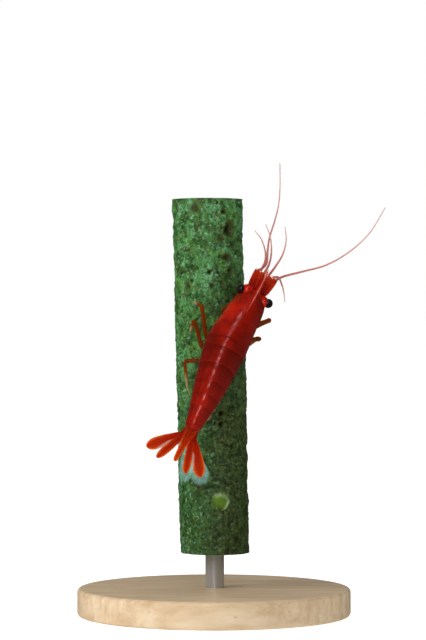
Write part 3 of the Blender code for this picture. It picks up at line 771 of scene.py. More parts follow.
for k in range(1, 7):
    outer, inner, ring_pigment_and_shade = tail_ring(k)
    ring = piece("tail_ring_%d" % k, plate(outer, inner), SHELL, "shell", "somite_%d" % k)
    mark(ring, "pigment_and_shade", np.tile(ring_pigment_and_shade, (2, 1)))
print("tail rings:", 6, "of", len(ring.data.polygons), "faces each")

# %% The flesh inside
t = np.linspace(0.35, 8.2, 40)[:, None]
u = np.linspace(-1, 1, 72, endpoint=False)[None, :]
chest = tube(shell(t, u, 0.93, 0.95))
t = np.linspace(7.4, 18.8, 60)[:, None]
waves = 1.0 - 0.05 * np.abs(np.sin(np.pi * (t - 7.5) / 2.05))
loin = tube(shell(t, u, 0.925 - 0.2 * smooth(t, 17.6, 18.8), 0.9 * waves))
flesh = piece("chest_and_tail_flesh", join([chest, loin]), FLESH, "shell")
print("flesh:", len(flesh.data.polygons), "faces")

# %% [markdown]
# ## Rostrum
# The rostrum is a saw-edged blade that runs forwards between the eyes from a low crest on the
# carapace. Its teeth lean forwards: each rises slowly and drops steeply in front. A profile
# worked out every 0.015 mm keeps them sharp, which a subdivided cage would round off.

# %% Rostrum
ROSTRUM_LENGTH = 3.5
CREST_START = 3.4
TOOTH_PITCH, TOOTH_HEIGHT = 0.36, 0.10
LOW_TOOTH_PITCH, LOW_TOOTH_HEIGHT = 0.42, 0.05
t = np.linspace(CREST_START, -ROSTRUM_LENGTH, 420)
ahead = CREST_START - t
phase = (ahead / TOOTH_PITCH) % 1.0
tooth = np.where(phase < 0.8, phase / 0.8, (1 - phase) / 0.2) * TOOTH_HEIGHT
tooth = tooth * smooth(ahead, 1.2, 2.3) * (1 - 0.55 * smooth(-t, 2.4, 3.7))
share = np.clip(-t / ROSTRUM_LENGTH, 0.0, 1.0)
back_line = along(BACK_HEIGHT, np.maximum(t, 0.0)) * (1 + 0.014 * bump_at(t, 2.5, 0.8))
back_line = back_line + 0.16 * np.clip(1 - np.maximum(t, 0) / 2.6, 0, 1)
top = np.where(t > 0, back_line + 0.04, 1.58 - 0.12 * share) + tooth * np.where(t > 0, 0.7, 1.0)
low_phase = ((-t - 1.5) / LOW_TOOTH_PITCH) % 1.0
low_tooth = np.where(low_phase < 0.75, low_phase / 0.75, (1 - low_phase) / 0.25)
low_tooth = low_tooth * LOW_TOOTH_HEIGHT
low_tooth = low_tooth * smooth(-t, 1.5, 1.7) * (1 - smooth(-t, 3.3, 3.5))
low = np.where(t > 0, back_line - 0.22, 0.88 + 0.46 * share ** 1.6) - low_tooth
half = np.where(t > 0, 0.12 * smooth(ahead, 0.0, 2.4) + 0.04, 0.12 + 0.22 * np.exp(-4.2 * share)
                + 0.06 * (1 - share) ** 0.5) * (1 - 0.75 * smooth(share, 0.85, 1.0))
half = np.where(t > 0, half + 0.12 * smooth(-t, -0.9, 0.0), half)
section = ((0.0, 1.0), (0.16, 0.93), (0.42, 0.78), (0.85, 0.6), (1.0, 0.5), (0.8, 0.4),
           (0.4, 0.22), (0.14, 0.07), (0.0, 0.0))
ring = [(w, h) for w, h in section] + [(-w, h) for w, h in section[-2:0:-1]]
w, h = np.array(ring).T
blade = on_body(t[:, None], half[:, None] * w, low[:, None] + (top - low)[:, None] * h)
rostrum = piece("rostrum_blade", tube(blade), SHELL, "shell", "rostrum", sharp=30.0)
# painted highlight along the crest of the carapace and the blade, wider over the carapace and near
# the tip, where it is also the blade's own paler horn
ends = np.maximum(smooth(ahead, 5.0, 6.6), 1 - smooth(ahead, 2.0, 3.0))[:, None]
pale_tip_and_ridge_highlight = (smooth(h[None, :], 0.78 - 0.4 * ends, 0.98 - 0.3 * ends)
         * (0.8 + 0.15 * smooth(ahead, 2.6, 4.6))[:, None])
mark(rostrum, "pale_tip_and_ridge_highlight", pale_tip_and_ridge_highlight)
print("rostrum:", ROSTRUM_LENGTH + CREST_START, "mm long with",
      int((CREST_START + ROSTRUM_LENGTH) / TOOTH_PITCH), "teeth")

# %% [markdown]
# ## Head
# The front of the head is a rounded block that the eyes, the two pairs of feelers and the
# mouthparts all spring from. Each eye is a ball on a stout red stalk: the stalk and the ball
# are turned about one slanting axis, with a step between them where the lens field starts.

# %% Head block
share = np.linspace(0, 1, 26)
t = 0.35 - 1.25 * share
half = along(((0, 1.2), (0.3, 1.2), (0.6, 1.08), (0.9, 0.8), (1.0, 0.45)), share)
top = along(((0, 0.35), (0.4, 0.34), (0.8, 0.2), (1.0, -0.1)), share)
low = along(((0, -1.5), (0.4, -1.5), (0.75, -1.35), (1.0, -0.85)), share)
a = 2 * np.pi * np.arange(44) / 44
round_x = np.sign(np.cos(a)) * np.abs(np.cos(a)) ** 0.8
round_y = np.sign(np.sin(a)) * np.abs(np.sin(a)) ** 0.8
block = tube(on_body(t[:, None], half[:, None] * round_x,
                     ((top + low) / 2)[:, None] + ((top - low) / 2)[:, None] * round_y))
head = piece("head_block", block, STALK, "shell", "head_front")
print("head block:", len(head.data.polygons), "faces")

# %% Eyes on their stalks
EYE_RADIUS = 0.59
EYE_REACH = 1.93


def turned_shape(start, axis, profile, sides=36):
    """Closed shape turned about an axis, from (distance along it, radius) pairs in mm."""
    axis = unit(axis)
    lift = unit(np.cross(axis, (0.0, 0.3, 1.0)))
    turn = np.cross(axis, lift)
    a = 2 * np.pi * np.arange(sides) / sides
    along_axis, radius = np.array(profile, float).T * MM
    rings = (start + axis * along_axis[:, None, None]
             + radius[:, None, None] * (lift * np.cos(a)[None, :, None]
                                        + turn * np.sin(a)[None, :, None]))
    return tube(rings)


STALK_ROOTS = {"l": (-0.16, -0.6, 0.52), "r": (0.42, 0.82, 0.52)}
for tag, side in SIDES:
    root = on_body(*STALK_ROOTS[tag])
    centre = on_body(0.25 - side * 0.16, side * EYE_REACH, 0.62)
    axis = unit(centre - root)
    length = np.linalg.norm(centre - root) / MM
    stalk = [(0.0, 0.5), (0.1, 0.62), (0.4, 0.74), (0.7, 0.8), (length - 0.6, 0.78),
             (length - 0.4, 0.7), (length - 0.26, 0.6), (length - 0.2, 0.48)]
    stations = np.linspace(0, stalk[-1][0], 30)
    made = piece("eyestalk_" + tag + "_skin",
                 turned_shape(root, axis, [(s, along(stalk, s)) for s in stations]), STALK,
                 "shell", "eyestalk_" + tag)
    mark(made, "pigment_and_shade", np.repeat(smooth(stations, length - 0.45, length - 0.2), 36))
    ball = [(length + EYE_RADIUS * math.cos(a), EYE_RADIUS * math.sin(a))
            for a in np.radians(np.linspace(132, 2, 36))]
    piece("eye_" + tag + "_lens", turned_shape(root, axis, ball, 48), EYE, "eye", "eye_" + tag)
print("eyes:", 2, "of radius", EYE_RADIUS, "mm")

# %% [markdown]
# ## Feelers and their bases
# A shrimp has two pairs. The short inner pair has a three-jointed base and two whips each; the
# long outer pair has one whip each, beside a flat scale that works as a rudder. The whips are
# threaded from articles 0.16 mm long that thin out to a hair.

# %% Peduncles of the short pair
def joint_line(side, *places):
    """Joints of a limb on one side, from (t, x, y) places given for the right side."""
    return [on_body(t, side * x, y) for t, x, y in places]


def tips(made, place):
    """Writes the tip attribute from a function of the points' place."""
    points = np.empty(len(made.data.vertices) * 3)
    made.data.vertices.foreach_get("co", points)
    return mark(made, "tip", place(points.reshape(-1, 3)))


def tips_between(made, start, end):
    """The tip attribute rises from 0 at start to 1 at end."""
    start, end = np.asarray(start), np.asarray(end)
    run = (end - start) / ((end - start) @ (end - start))
    return tips(made, lambda points: np.clip((points - start) @ run, 0, 1))


for tag, side in SIDES:
    joints = joint_line(side, (-0.8, 0.42, -0.12), (-2.05, 0.43, -0.05), (-2.72, 0.46, 0.02),
                        (-3.3, 0.5, 0.06))
    shapes = limb(joints, (0.44, 0.43, 0.40, 0.34), flat=0.9)
    shapes.append(claw(*joint_line(side, (-0.95, 0.84, -0.05), (-2.1, 0.98, 0.1)), 0.1))
    base = piece("antennule_" + tag + "_base", join(shapes), BASE_LIMB, "limb", "antennule_" + tag)
    tips_between(base, joints[0], joints[-1])
    joints = joint_line(side, (-0.8, 0.84, -1.0), (-1.5, 1.0, -1.06), (-2.15, 1.1, -1.08))
    shapes = [article(joints[0], joints[1], 0.40, 0.37), article(joints[1], joints[2], 0.35, 0.27)]
    base = piece("antenna_" + tag + "_base", join(shapes), BASE_LIMB, "limb", "antenna_base_" + tag)
    tips_between(base, joints[0], joints[-1])
print("peduncles:", 4)

# %% Routes of the whips
FEELER_ROUTES = {
    "antennule_feeler_l_outer": ((-3.28, -0.87, 0.32), (-4.55, -0.95, 0.6), (-5.75, -1.6, 0.9),
                                 (-6.8, -2.8, 1.2), (-7.2, -3.8, 1.4)),
    "antennule_feeler_l_inner": ((-3.28, -0.31, 0.32), (-4.7, -0.38, 0.5), (-6.2, -0.9, 0.7),
                                 (-7.8, -1.9, 0.7), (-9.0, -3.1, 0.6)),
    "antennule_feeler_r_outer": ((-3.28, 0.87, 0.32), (-3.55, 1.5, 0.6), (-2.75, 2.4, 0.9),
                                 (-1.9, 3.05, 1.1), (-1.2, 3.5, 1.2)),
    "antennule_feeler_r_inner": ((-3.28, 0.31, 0.32), (-4.8, 0.5, 0.6), (-6.4, 0.55, 1.0),
                                 (-8.1, 0.1, 1.4), (-9.5, -0.8, 1.6)),
    "antenna_l": ((-2.15, -1.12, -1.12), (-3.5, -1.4, -1.25), (-4.4, -0.95, -1.35),
                  (-5.4, -0.8, -1.45), (-7.1, -1.5, -1.6), (-8.8, -2.1, -1.7), (-11.2, -2.6, -1.6),
                  (-13.0, -3.1, -1.3), (-15.0, -4.0, -0.8), (-17.6, -5.5, 0.0)),
    "antenna_r": ((-2.15, 1.12, -1.12), (-3.4, 1.2, -1.15), (-4.6, 1.95, -0.8), (-6.3, 3.9, -0.1),
                  (-8.2, 6.0, 0.7), (-10.9, 7.7, 1.5), (-14.1, 8.8, 2.4), (-17.8, 9.0, 3.2)),
}
ARTICLE_LENGTH, ARTICLE_POINTS = 0.16, 32
WHIP_RADIUS = {"antennule": 0.18, "antenna": 0.21}


def smooth_route(points, steps=12):
    """Curve through a few points, with steps points to each stretch."""
    points = np.asarray(points, float)
    padded = np.vstack([2 * points[0] - points[1], points, 2 * points[-1] - points[-2]])
    route = []
    for a, b, c, d in zip(padded, padded[1:], padded[2:], padded[3:]):
        s = np.linspace(0, 1, steps, endpoint=False)[:, None]
        route.append(0.5 * (2 * b + (c - a) * s + (2 * a - 5 * b + 4 * c - d) * s**2
                            + (3 * b - a - 3 * c + d) * s**3))
    return np.vstack(route + [points[-1:]])


print("whips:", len(FEELER_ROUTES))

# %% Whips
for name, places in FEELER_ROUTES.items():
    route = smooth_route([on_body(*place) for place in places])
    share = np.linspace(0, 1, len(route))
    radius = WHIP_RADIUS[name.split("_")[0]] * MM * (1.0 - 0.68 * share ** 0.8)
    whip = run_tree(name + "_whip", route, [(i, i + 1) for i in range(len(route) - 1)],
                    {"thick": radius, "tip": share}, BEADS,
                    {"Article": ARTICLE_LENGTH * MM, "Overlap": 1.25, "Finish": FEELER},
                    "feeler", name)
    print(name, "articles:", len(whip.data.vertices) // ARTICLE_POINTS)

# %% [markdown]
# ## Leaves
# Feeler scales, swimmerets and the tail fan are all leaves: thin blades with a rib down the
# middle, a rounded tip and a fringe. One function draws the blade from its rib line and half
# widths, and hands back its edge, where the bristle tree plants the fringe.

# %% A ribbed leaf
def read_rows(at, share, rows):
    """Rows of three numbers that stand at each share, read off at other shares."""
    return np.stack([np.interp(at, share, rows[:, i]) for i in range(3)], -1)


def leaf(path, across, half, rib=0.16, thin=0.05, ribs=((0.0, 1.0),), rows=70, columns=33):
    """Closed blade and its margin; path and across in metres, half widths and thickness in mm."""
    share = np.linspace(0, 1, len(path))
    s = np.linspace(0, 1, rows)
    line = read_rows(s, share, path)
    tangent = unit(np.gradient(line, axis=0))
    across = unit(across - tangent * (tangent @ across)[:, None])
    up = np.cross(across, tangent)
    width = half(s) * MM
    w = np.linspace(-1, 1, columns)
    bow = np.abs(w)
    thick = thin + (rib - thin) * (1 - 0.5 * s)[:, None] * sum(
        size * np.exp(-((w - at) / 0.16) ** 2)[None, :] for at, size in ribs)
    thick = thick * (1 - 0.6 * bow ** 6)[None, :] * MM / 2
    middle = (line[:, None] + across[:, None] * (width[:, None] * w[None, :])[..., None]
              - up[:, None] * (0.12 * width[:, None] * (w**2)[None, :])[..., None])
    outer = middle + up[:, None] * thick[..., None]
    inner = middle - up[:, None] * thick[..., None]
    dark = sum(size * bump_at(w, at, 0.13)[None, :] for at, size in ribs)
    pale = np.clip(0.1 + 0.45 * s[:, None] ** 1.5 - 0.2 * dark
                   + 0.7 * bow[None, :] ** 2.4 * smooth(s, 0.15, 0.6)[:, None], 0, 1)
    margin = {"left": middle[:, 0], "right": middle[:, -1], "tangent": tangent, "across": across,
              "share": s, "pale": np.tile(pale.ravel(), 2)}
    return plate(outer, inner), margin


trial, _ = leaf(np.linspace((0, 0, 0), (0, 0, MM), 3), np.array([1.0, 0.0, 0.0]), np.ones_like)
print("one leaf:", len(trial[0]), "points,", len(trial[1]), "faces")

# %% Fringes and webs
def fringe_points(margin, side, start, length, count):
    """Roots, lean and length of a fringe down one margin and round the tip."""
    edge = margin["left"] if side < 0 else margin["right"]
    s = np.linspace(start, 1.0, count)
    at, ahead, out = [read_rows(s, margin["share"], rows)
                      for rows in (edge, margin["tangent"], margin["across"])]
    lean = ahead * (0.75 + 0.5 * s[:, None]) + out * side * (0.9 - 0.6 * s[:, None])
    return at, lean, length * (0.45 + 0.55 * smooth(s, start, 0.75))


def fringe_web(margin, starts, length, up, count=70, columns=9):
    """Thin closed web round a leaf's tip, between starts on its left and right margin."""
    roots, reaches = [], []
    for side, start in zip((-1, 1), starts):
        at, lean, reach = fringe_points(margin, side, start, length, count)
        way = unit(lean) * reach[:, None] * MM
        roots.append(at[::-side])
        reaches.append(way[::-side])
    roots, reaches = np.vstack(roots), np.vstack(reaches)
    share = np.linspace(0, 1, columns)
    sheet = roots[:, None] + reaches[:, None] * share[None, :, None]
    strand = np.append(0.0, np.cumsum(np.linalg.norm(np.diff(roots, axis=0), axis=1))) / MM
    shape = plate(sheet + up * 0.012 * MM, sheet - up * 0.012 * MM)
    return shape, np.tile(share, 2 * len(roots)), np.tile(np.repeat(strand, columns), 2)


print("fringe helpers ready")

# %% Scales of the long feelers
SCALE_LENGTH = 2.6
for tag, side in SIDES:
    s = np.linspace(0, 1, 40)
    path = on_body(-0.92 - SCALE_LENGTH * s, side * along(
        ((0, 0.98), (0.2, 1.03), (0.5, 1.1), (0.78, 1.15), (1, 1.15)), s), -0.42 + 0.12 * s)
    right = spine_axes(np.array(-2.0))[1]

    def scale_half(s):
        return along(((0, 0.3), (0.2, 0.42), (0.5, 0.46), (0.8, 0.46), (0.93, 0.36), (1, 0.12)), s)

    blade, margin = leaf(path, right, scale_half, rib=0.2, thin=0.09,
                         ribs=((0.55 * side, 1.0), (-0.2 * side, 0.4)))
    tooth = claw(*joint_line(side, (-3.05, 1.52, -0.32), (-3.72, 1.52, -0.3)), 0.1)
    made = piece("antennal_scale_%s_blade" % tag, join([blade, tooth]), SCALE, "fan",
                 "antennal_scale_" + tag)
    mark(made, "tip", margin["pale"])
    bristles("antennal_scale_%s_fringe" % tag, *fringe_points(margin, -side, 0.25, 0.5, 90),
             "fan", thickness=0.02, seed=11)
print("feeler scales:", 2)

# %% Mouth legs
PALP_BEND, PALP_REST = 0.58, 0.42        # shares of the bristled length before and after its bend
for tag, side in SIDES:
    joints = joint_line(side, (0.55, 0.5, -2.45), (-0.5, 0.58, -2.5), (-1.9, 0.52, -2.15),
                        (-2.9, 0.45, -1.75))
    made = piece("maxilliped_%s_leg" % tag, join(limb(joints, (0.26, 0.25, 0.22, 0.13))), BASE_LIMB,
                 "limb", "maxilliped_" + tag)
    tips_between(made, joints[0], joints[-1])
    s = np.linspace(0.05, 1, 46)[:, None]
    roots = np.where(s < PALP_BEND, joints[1] + (joints[2] - joints[1]) * s / PALP_BEND,
                     joints[2] + (joints[3] - joints[2]) * (s - PALP_BEND) / PALP_REST)
    inwards = -side * spine_axes(np.array(0.0))[1] - 0.6 * spine_axes(np.array(0.0))[0]
    bristles("maxilliped_%s_fringe" % tag, roots, inwards, 0.42, "limb", spread=0.5, seed=23)
print("mouth legs:", 2)

# %% [markdown]
# ## Legs
# The first two pairs are short and end in claws with brushes, for picking food. The other
# three pairs walk, and here they hold the stem. A leg is built as the animal's is, article by
# article: hip ring, thigh, shank and foot, each narrow at its root and flared at its rim. The
# joints stand where the solids have theirs.

# %% The stem's axis and the legs' joints
STEM_RADIUS, STEM_BOTTOM, STEM_TOP = 4.45, 8.0, 53.2
STEM_LEAN, STEM_FOOT_X = 1.2, 0.1
LEG_STATIONS = (1.55, 2.65, 3.7, 5.2, 6.4)
LEG_REACH = (0.85, 0.9, 1.15, 0.95, 0.85)
CLAW_START, CLAW_LENGTH = 0.76, 0.36     # share of the foot, and mm from its end into the bark
WALKING_LEGS = {
    ("l", 3): ((-5.0, -5.3, 1.75), (-9.0, -1.2, 2.0), (-27.0, -0.6, 0.44)),
    ("l", 4): ((-11.0, -6.6, 0.78), (-22.0, -3.0, 1.0), (-33.0, -4.8, 0.42)),
    ("l", 5): ((-6.0, -8.1, 0.75), (-34.5, -8.2, 1.4), (-37.5, -12.6, 0.36)),
    ("r", 3): ((70.0, -3.0, 3.7), (88.0, -3.6, 1.6), (100.0, -4.4, 0.36)),
    ("r", 4): ((64.0, -5.4, 2.5), (86.0, -5.4, 1.5), (98.0, -6.5, 0.36)),
    ("r", 5): ((24.0, -7.2, 1.0), (23.0, -9.9, 0.95), (20.0, -11.8, 0.38)),
}
CLAW_LEGS = {
    ("l", 1): ((0.5, -0.95, -3.4), (-0.8, -0.9, -3.35), (-1.9, -0.65, -3.05)),
    ("l", 2): ((2.8, -2.4, -2.75), (1.6, -1.9, -2.95), (0.4, -1.5, -3.3)),
    ("r", 1): ((0.4, 0.95, -3.35), (-0.9, 0.95, -3.3), (-2.0, 0.7, -3.0)),
    ("r", 2): ((1.6, 1.4, -4.3), (0.4, 1.35, -4.45), (-0.6, 1.1, -4.65)),
}


def stem_axis(z):
    """Middle of the stem at a height, in mm."""
    z = np.asarray(z, float)
    return np.stack([STEM_FOOT_X - (z - STEM_BOTTOM) * math.tan(math.radians(STEM_LEAN)),
                     np.zeros_like(z), z], -1)


def on_stem(angle, height, lift=0.0):
    """World point at an angle in degrees round the stem, a height and a lift off the bark."""
    a, reach = math.radians(angle), STEM_RADIUS + lift
    return (stem_axis(height) + np.array([math.sin(a), -math.cos(a), 0.0]) * reach) * MM


def hip(pair, side):
    """Root and first joint of one leg of a pair, under the body."""
    t, reach = LEG_STATIONS[pair - 1], LEG_REACH[pair - 1]
    floor = -along(BELLY_DEPTH, t)
    return joint_line(side, (t, reach - 0.05, floor - 0.05), (t, reach + 0.15, floor - 0.66))


print("hip of the first walking leg:", np.round(hip(3, -1)[0] / MM, 1))

# %% Spines of a leg
def between(a, b, share):
    """Point a share of the way from a to b."""
    return a + (b - a) * share


def leg_spines(start, end, count, away, reach):
    """Roots and leans of a row of small spines down one side of an article."""
    s = np.linspace(0.15, 0.95, count)[:, None]
    lean = away + unit(end - start) * 0.9
    return between(start, end, s), np.repeat(lean[None], count, 0), np.full(count, reach)


trial, _, _ = leg_spines(np.zeros(3), np.array([0.0, 0.0, 1.0]), 3, np.zeros(3), 0.2)
print("three spines stand at these shares of an article:", np.round(trial[:, 2], 2))

# %% Walking legs
for (tag, pair), places in WALKING_LEGS.items():
    side = dict(SIDES)[tag]
    root, hip_joint = hip(pair, side)
    knee, wrist, tip = [on_stem(a, EYE_LINE[2] + height, lift) for a, height, lift in places]
    foot = between(wrist, tip, CLAW_START)
    to_stem = unit(stem_axis(tip[2] / MM) * MM - tip)
    reach_to_bark = tip + to_stem * CLAW_LENGTH * MM
    shapes = [article(root, hip_joint, 0.36, 0.33),
              article(hip_joint, between(hip_joint, knee, 0.3), 0.31, 0.30),
              article(between(hip_joint, knee, 0.28), knee, 0.31, 0.30, bow=0.02),
              article(knee, between(knee, wrist, 0.34), 0.28, 0.28),
              article(between(knee, wrist, 0.32), wrist, 0.28, 0.26, bow=-0.02),
              article(wrist, foot, 0.24, 0.14),
              claw(between(wrist, foot, 0.94), reach_to_bark, 0.13, -to_stem * 0.05)]
    name = "walking_leg_%s_%d" % (tag, pair)
    made = piece(name + "_skin", join(shapes), LIMB, "limb", name)
    last = len(shapes[-2][0]) + len(shapes[-1][0])

    def pale_joints_and_glints(points, wrist=wrist, knee=knee, tip=tip, last=last):
        """Paler at the two bends, for their pale joint skin and a painted glint on each, and paler
        towards the foot's end.
        """
        bend = sum(np.exp(-(np.linalg.norm(points - joint, axis=1) / (0.2 * MM)) ** 2)
                   for joint in (knee, wrist))
        foot_share = (points - wrist) @ (tip - wrist) / ((tip - wrist) @ (tip - wrist))
        foot_share[:-last] = 0.0
        return np.clip(0.12 + 0.6 * bend + smooth(foot_share, 0.05, 0.7), 0, 1)

    tips(made, pale_joints_and_glints)
    rows_of_spines = [leg_spines(knee, wrist, 7, to_stem, 0.24),
                      leg_spines(wrist, foot, 6, to_stem, 0.2),
                      leg_spines(between(hip_joint, knee, 0.4), knee, 4, to_stem, 0.26)]
    roots, lean, reach = stacked(rows_of_spines)
    bristles(name + "_spines", roots + lean * 0.12 * MM, lean, reach, "limb", stout=2.0,
             spread=0.15, seed=31 + pair, finish=LIMB)
print("walking legs:", len(WALKING_LEGS))

# %% Claw legs
for (tag, pair), places in CLAW_LEGS.items():
    side = dict(SIDES)[tag]
    root, hip_joint = hip(pair, side)
    knee, wrist, tip = [on_body(*place) for place in places]
    palm = between(wrist, tip, 0.5)
    ahead = unit(tip - wrist)
    apart = unit(np.cross(ahead, spine_axes(np.array(2.0))[1]))
    shapes = [article(root, hip_joint, 0.33, 0.3), article(hip_joint, knee, 0.27, 0.26),
              article(knee, wrist, 0.24, 0.28), article(wrist, palm, 0.27, 0.28, flat=0.8)]
    for finger in (apart, -apart):
        shapes.append(claw(between(wrist, palm, 0.85) + finger * 0.11 * MM,
                           tip + finger * 0.06 * MM, 0.13, finger * 0.08))
    name = "claw_leg_%s_%d" % (tag, pair)
    made = piece(name + "_skin", join(shapes), LIMB, "limb", name)
    tips_between(made, hip_joint, tip)
    tuft = np.repeat(between(palm, tip, np.linspace(0.55, 0.95, 5)[:, None]), 8, 0)
    bristles(name + "_brush", tuft, ahead, 0.42, "limb", spread=0.55, seed=41 + pair,
             thickness=0.03)
print("claw legs:", len(CLAW_LEGS))

# %% Swimmerets
for tag, side in SIDES:
    for k in range(1, 6):
        t0 = 0.5 * (CUTS[k - 1] + CUTS[k]) + 0.1
        floor = -along(BELLY_DEPTH, t0)
        reach = along(HALF_WIDTH, t0) * 0.42
        size = 0.7 if k == 1 else 1.0 - 0.11 * (k - 1)
        drop = 0.5 if k == 1 else size
        post = joint_line(side, *[(t0 + b * size, reach + o, floor - 0.05 - d * drop + 0.1)
                                  for b, d, o in ((-0.1, -0.15, 0.0), (0.45, 0.85, 0.08))])
        shapes = [article(*post, 0.3 * size + 0.08, 0.24 * size + 0.06, flat=0.8)]
        places = ((0.4, 0.8, 0.08), (0.8, 1.15, 0.12), (1.6, 1.6, 0.2), (2.3, 1.9, 0.26))
        right = spine_axes(np.array(t0))[1]
        edges = []
        for twin, shift in ((0, -0.1), (1, 0.12)):
            path = smooth_route(joint_line(side, *[
                (t0 + b * size * (1.0 - 0.12 * twin), reach + o + shift, floor - 0.12 - d * drop)
                for b, d, o in places]), 8)

            def paddle_half(s, size=size, twin=twin):
                return along(((0, 0.14), (0.35, 0.40), (0.7, 0.42), (0.9, 0.28), (1, 0.07)),
                             s) * (0.6 + 0.4 * size) * (1.0 - 0.2 * twin)

            blade, margin = leaf(path, right, paddle_half, rib=0.14, thin=0.06, rows=30, columns=15)
            shapes.append(blade)
            for edge_side in (-1, 1):
                edges.append(fringe_points(margin, edge_side, 0.3, 0.5 * size, 22))
        name = "swimmeret_%s_%d" % (tag, k)
        made = piece(name + "_paddles", join(shapes), PADDLE, "fan", name)
        tips_between(made, post[0], path[-1])
        bristles(name + "_fringe", *stacked(edges), "fan", thickness=0.03, seed=51 + k)
print("swimmerets:", 10)

# %% [markdown]
# ## Tail fan
# The fan is the blade in the middle, the telson, and two leaves on each side. The telson has
# four pairs of small spines near its edges. All five end in a fringe of feathered bristles
# about a millimetre long, so fine and close that they look like a pale blue haze. The clear
# web carries the haze, and sparse single bristles stand over it.

# %% Lines and outlines of the fan
TELSON_LENGTH, UROPOD_LENGTH = 3.9, 5.2
TELSON_FRINGE, LEAF_FRINGE = 0.86, 0.3      # share of the leaf where its fringe starts
TELSON_SPINES = (30, 40, 49, 57)            # rows of the blade that carry a pair of spines
FAN_START = CUTS[-1] + 0.168
FAN_ANGLES = {"l": (-21.0, -41.5), "r": (17.5, 38.5)}
FAN_REAR, FAN_RIGHT, FAN_BACK = spine_axes(np.array(FAN_START + 1.0))


def fan_line(length, angle, root_x, layer):
    """Rib of a leaf and the direction across it."""
    a = math.radians(angle)
    way = FAN_REAR * math.cos(a) + FAN_RIGHT * math.sin(a)
    s = np.linspace(-0.17, 1, 60)
    rise = (layer[1] - layer[0]) * np.clip(s, 0, 1) ** 1.5
    root = on_body(FAN_START, root_x, layer[0])
    path = root + (way * (length * s)[:, None] + FAN_BACK * rise[:, None]) * MM
    return path, FAN_RIGHT * math.cos(a) - FAN_REAR * math.sin(a)


def rounded(widths, start):
    """Half width at each share, closed with a round tip after start."""
    table = [(1 - (1 - i / (len(widths) - 1)) ** 1.35, w) for i, w in enumerate(widths)]

    def half(s):
        close = np.clip((s - start) / (1 - start), 0, 1)
        flat = along(table, np.minimum(s, start))
        return flat * np.sqrt(np.clip(1 - close ** 2, 0.004, 1))
    return half


print("the fan starts", round(float(FAN_START), 2), "mm behind the eyes")

# %% Telson
fan_fringe, webs = [], []
path, across = fan_line(TELSON_LENGTH, 0.0, 0.0, (0.42, 0.25))
blade, margin = leaf(path, across, rounded((0.78, 0.64, 0.50, 0.42, 0.36, 0.31, 0.27), 0.9),
                     rib=0.5, thin=0.14, ribs=((0.0, 1.0), (-0.5, 0.4), (0.5, 0.4)))
telson = piece("telson_blade", blade, FAN, "fan", "telson")
mark(telson, "tip", margin["pale"] + 0.22)
spine_roots, spine_leans = [], []
for side in (-1, 1):
    edge = margin["left"] if side < 0 else margin["right"]
    for at in TELSON_SPINES:
        spine_roots.append(edge[at] - margin["across"][at] * side * 0.1 * MM + FAN_BACK * 0.06 * MM)
        spine_leans.append(FAN_REAR + FAN_RIGHT * side * 0.25)
bristles("telson_spines", np.array(spine_roots), np.array(spine_leans), 0.34, "fan", stout=2.4,
         spread=0.05, seed=61, finish=FAN)
for side in (-1, 1):
    fan_fringe.append(fringe_points(margin, side, TELSON_FRINGE, 0.85, 14))
webs.append(fringe_web(margin, (TELSON_FRINGE,) * 2, 0.8, FAN_BACK))
print("telson spines:", len(spine_roots))

# %% Side leaves
for tag, side in SIDES:
    inner, outer = FAN_ANGLES[tag]
    for name, length, angle, root_x, layer, widths, ribs in (
            ("uropod_inner_" + tag, UROPOD_LENGTH * 0.93, inner, side * 0.44, (-0.18, -0.05),
             (0.20, 0.30, 0.42, 0.50, 0.50, 0.46, 0.42), ((0.0, 1.0), (-0.45, 0.45), (0.45, 0.45))),
            ("uropod_outer_" + tag, UROPOD_LENGTH, outer, side * 0.5, (-0.74, -0.35),
             (0.20, 0.36, 0.54, 0.70, 0.76, 0.74, 0.70),
             ((0.1 * side, 1.0), (0.55 * side, 0.7), (-0.4 * side, 0.4)))):
        path, across = fan_line(length, angle, root_x, layer)
        blade, margin = leaf(path, across, rounded(widths, 0.78), rib=0.30, thin=0.10, ribs=ribs,
                             columns=41)
        knuckle = article(on_body(FAN_START - 0.85, root_x * 0.9, layer[0] + 0.12), path[15], 0.44,
                          0.30, flat=0.8)
        made = piece(name + "_leaf", join([blade, knuckle]), FAN, "fan", name)
        mark(made, "tip", margin["pale"])
        outside = 0.5 if "inner" in name else 0.72
        webs.append(fringe_web(margin, (outside, LEAF_FRINGE)[::-side], 1.25, FAN_BACK))
        fan_fringe.append(fringe_points(margin, -side, LEAF_FRINGE, 1.15, 40))
        fan_fringe.append(fringe_points(margin, side, outside, 1.05, 22))
print("side leaves:", len(webs) - 1)

# %% Fringe of the fan
roots, lean, reach = stacked(fan_fringe)
bristles("tail_fan_fringe", roots, lean, reach, "fan", thickness=0.025, spread=0.1, seed=71,
         finish=FRINGE)
web = piece("tail_fan_web", join([shape for shape, _, _ in webs]), WEB, "fan")
mark(web, "tip", np.concatenate([share for _, share, _ in webs]))
mark(web, "strand", np.concatenate([strand for _, _, strand in webs]))
print("fringe:", len(roots), "bristles over a web of", len(web.data.polygons), "faces")

# %% [markdown]
# ## Stem
# The perch is a green stem with a bumpy, pitted skin. The bumps are broad, the pits small and
# deep, and both follow a rule, so a Geometry Nodes tree pushes a smooth cylinder's points in
# and out with noise and cell patterns. It also stores how deep each pit is and how high each
# lump stands, for the colours, which paint light on the lumps' tops and shade in their troughs
# and pits. The bud and a few larger hollows are shaped from a table first.

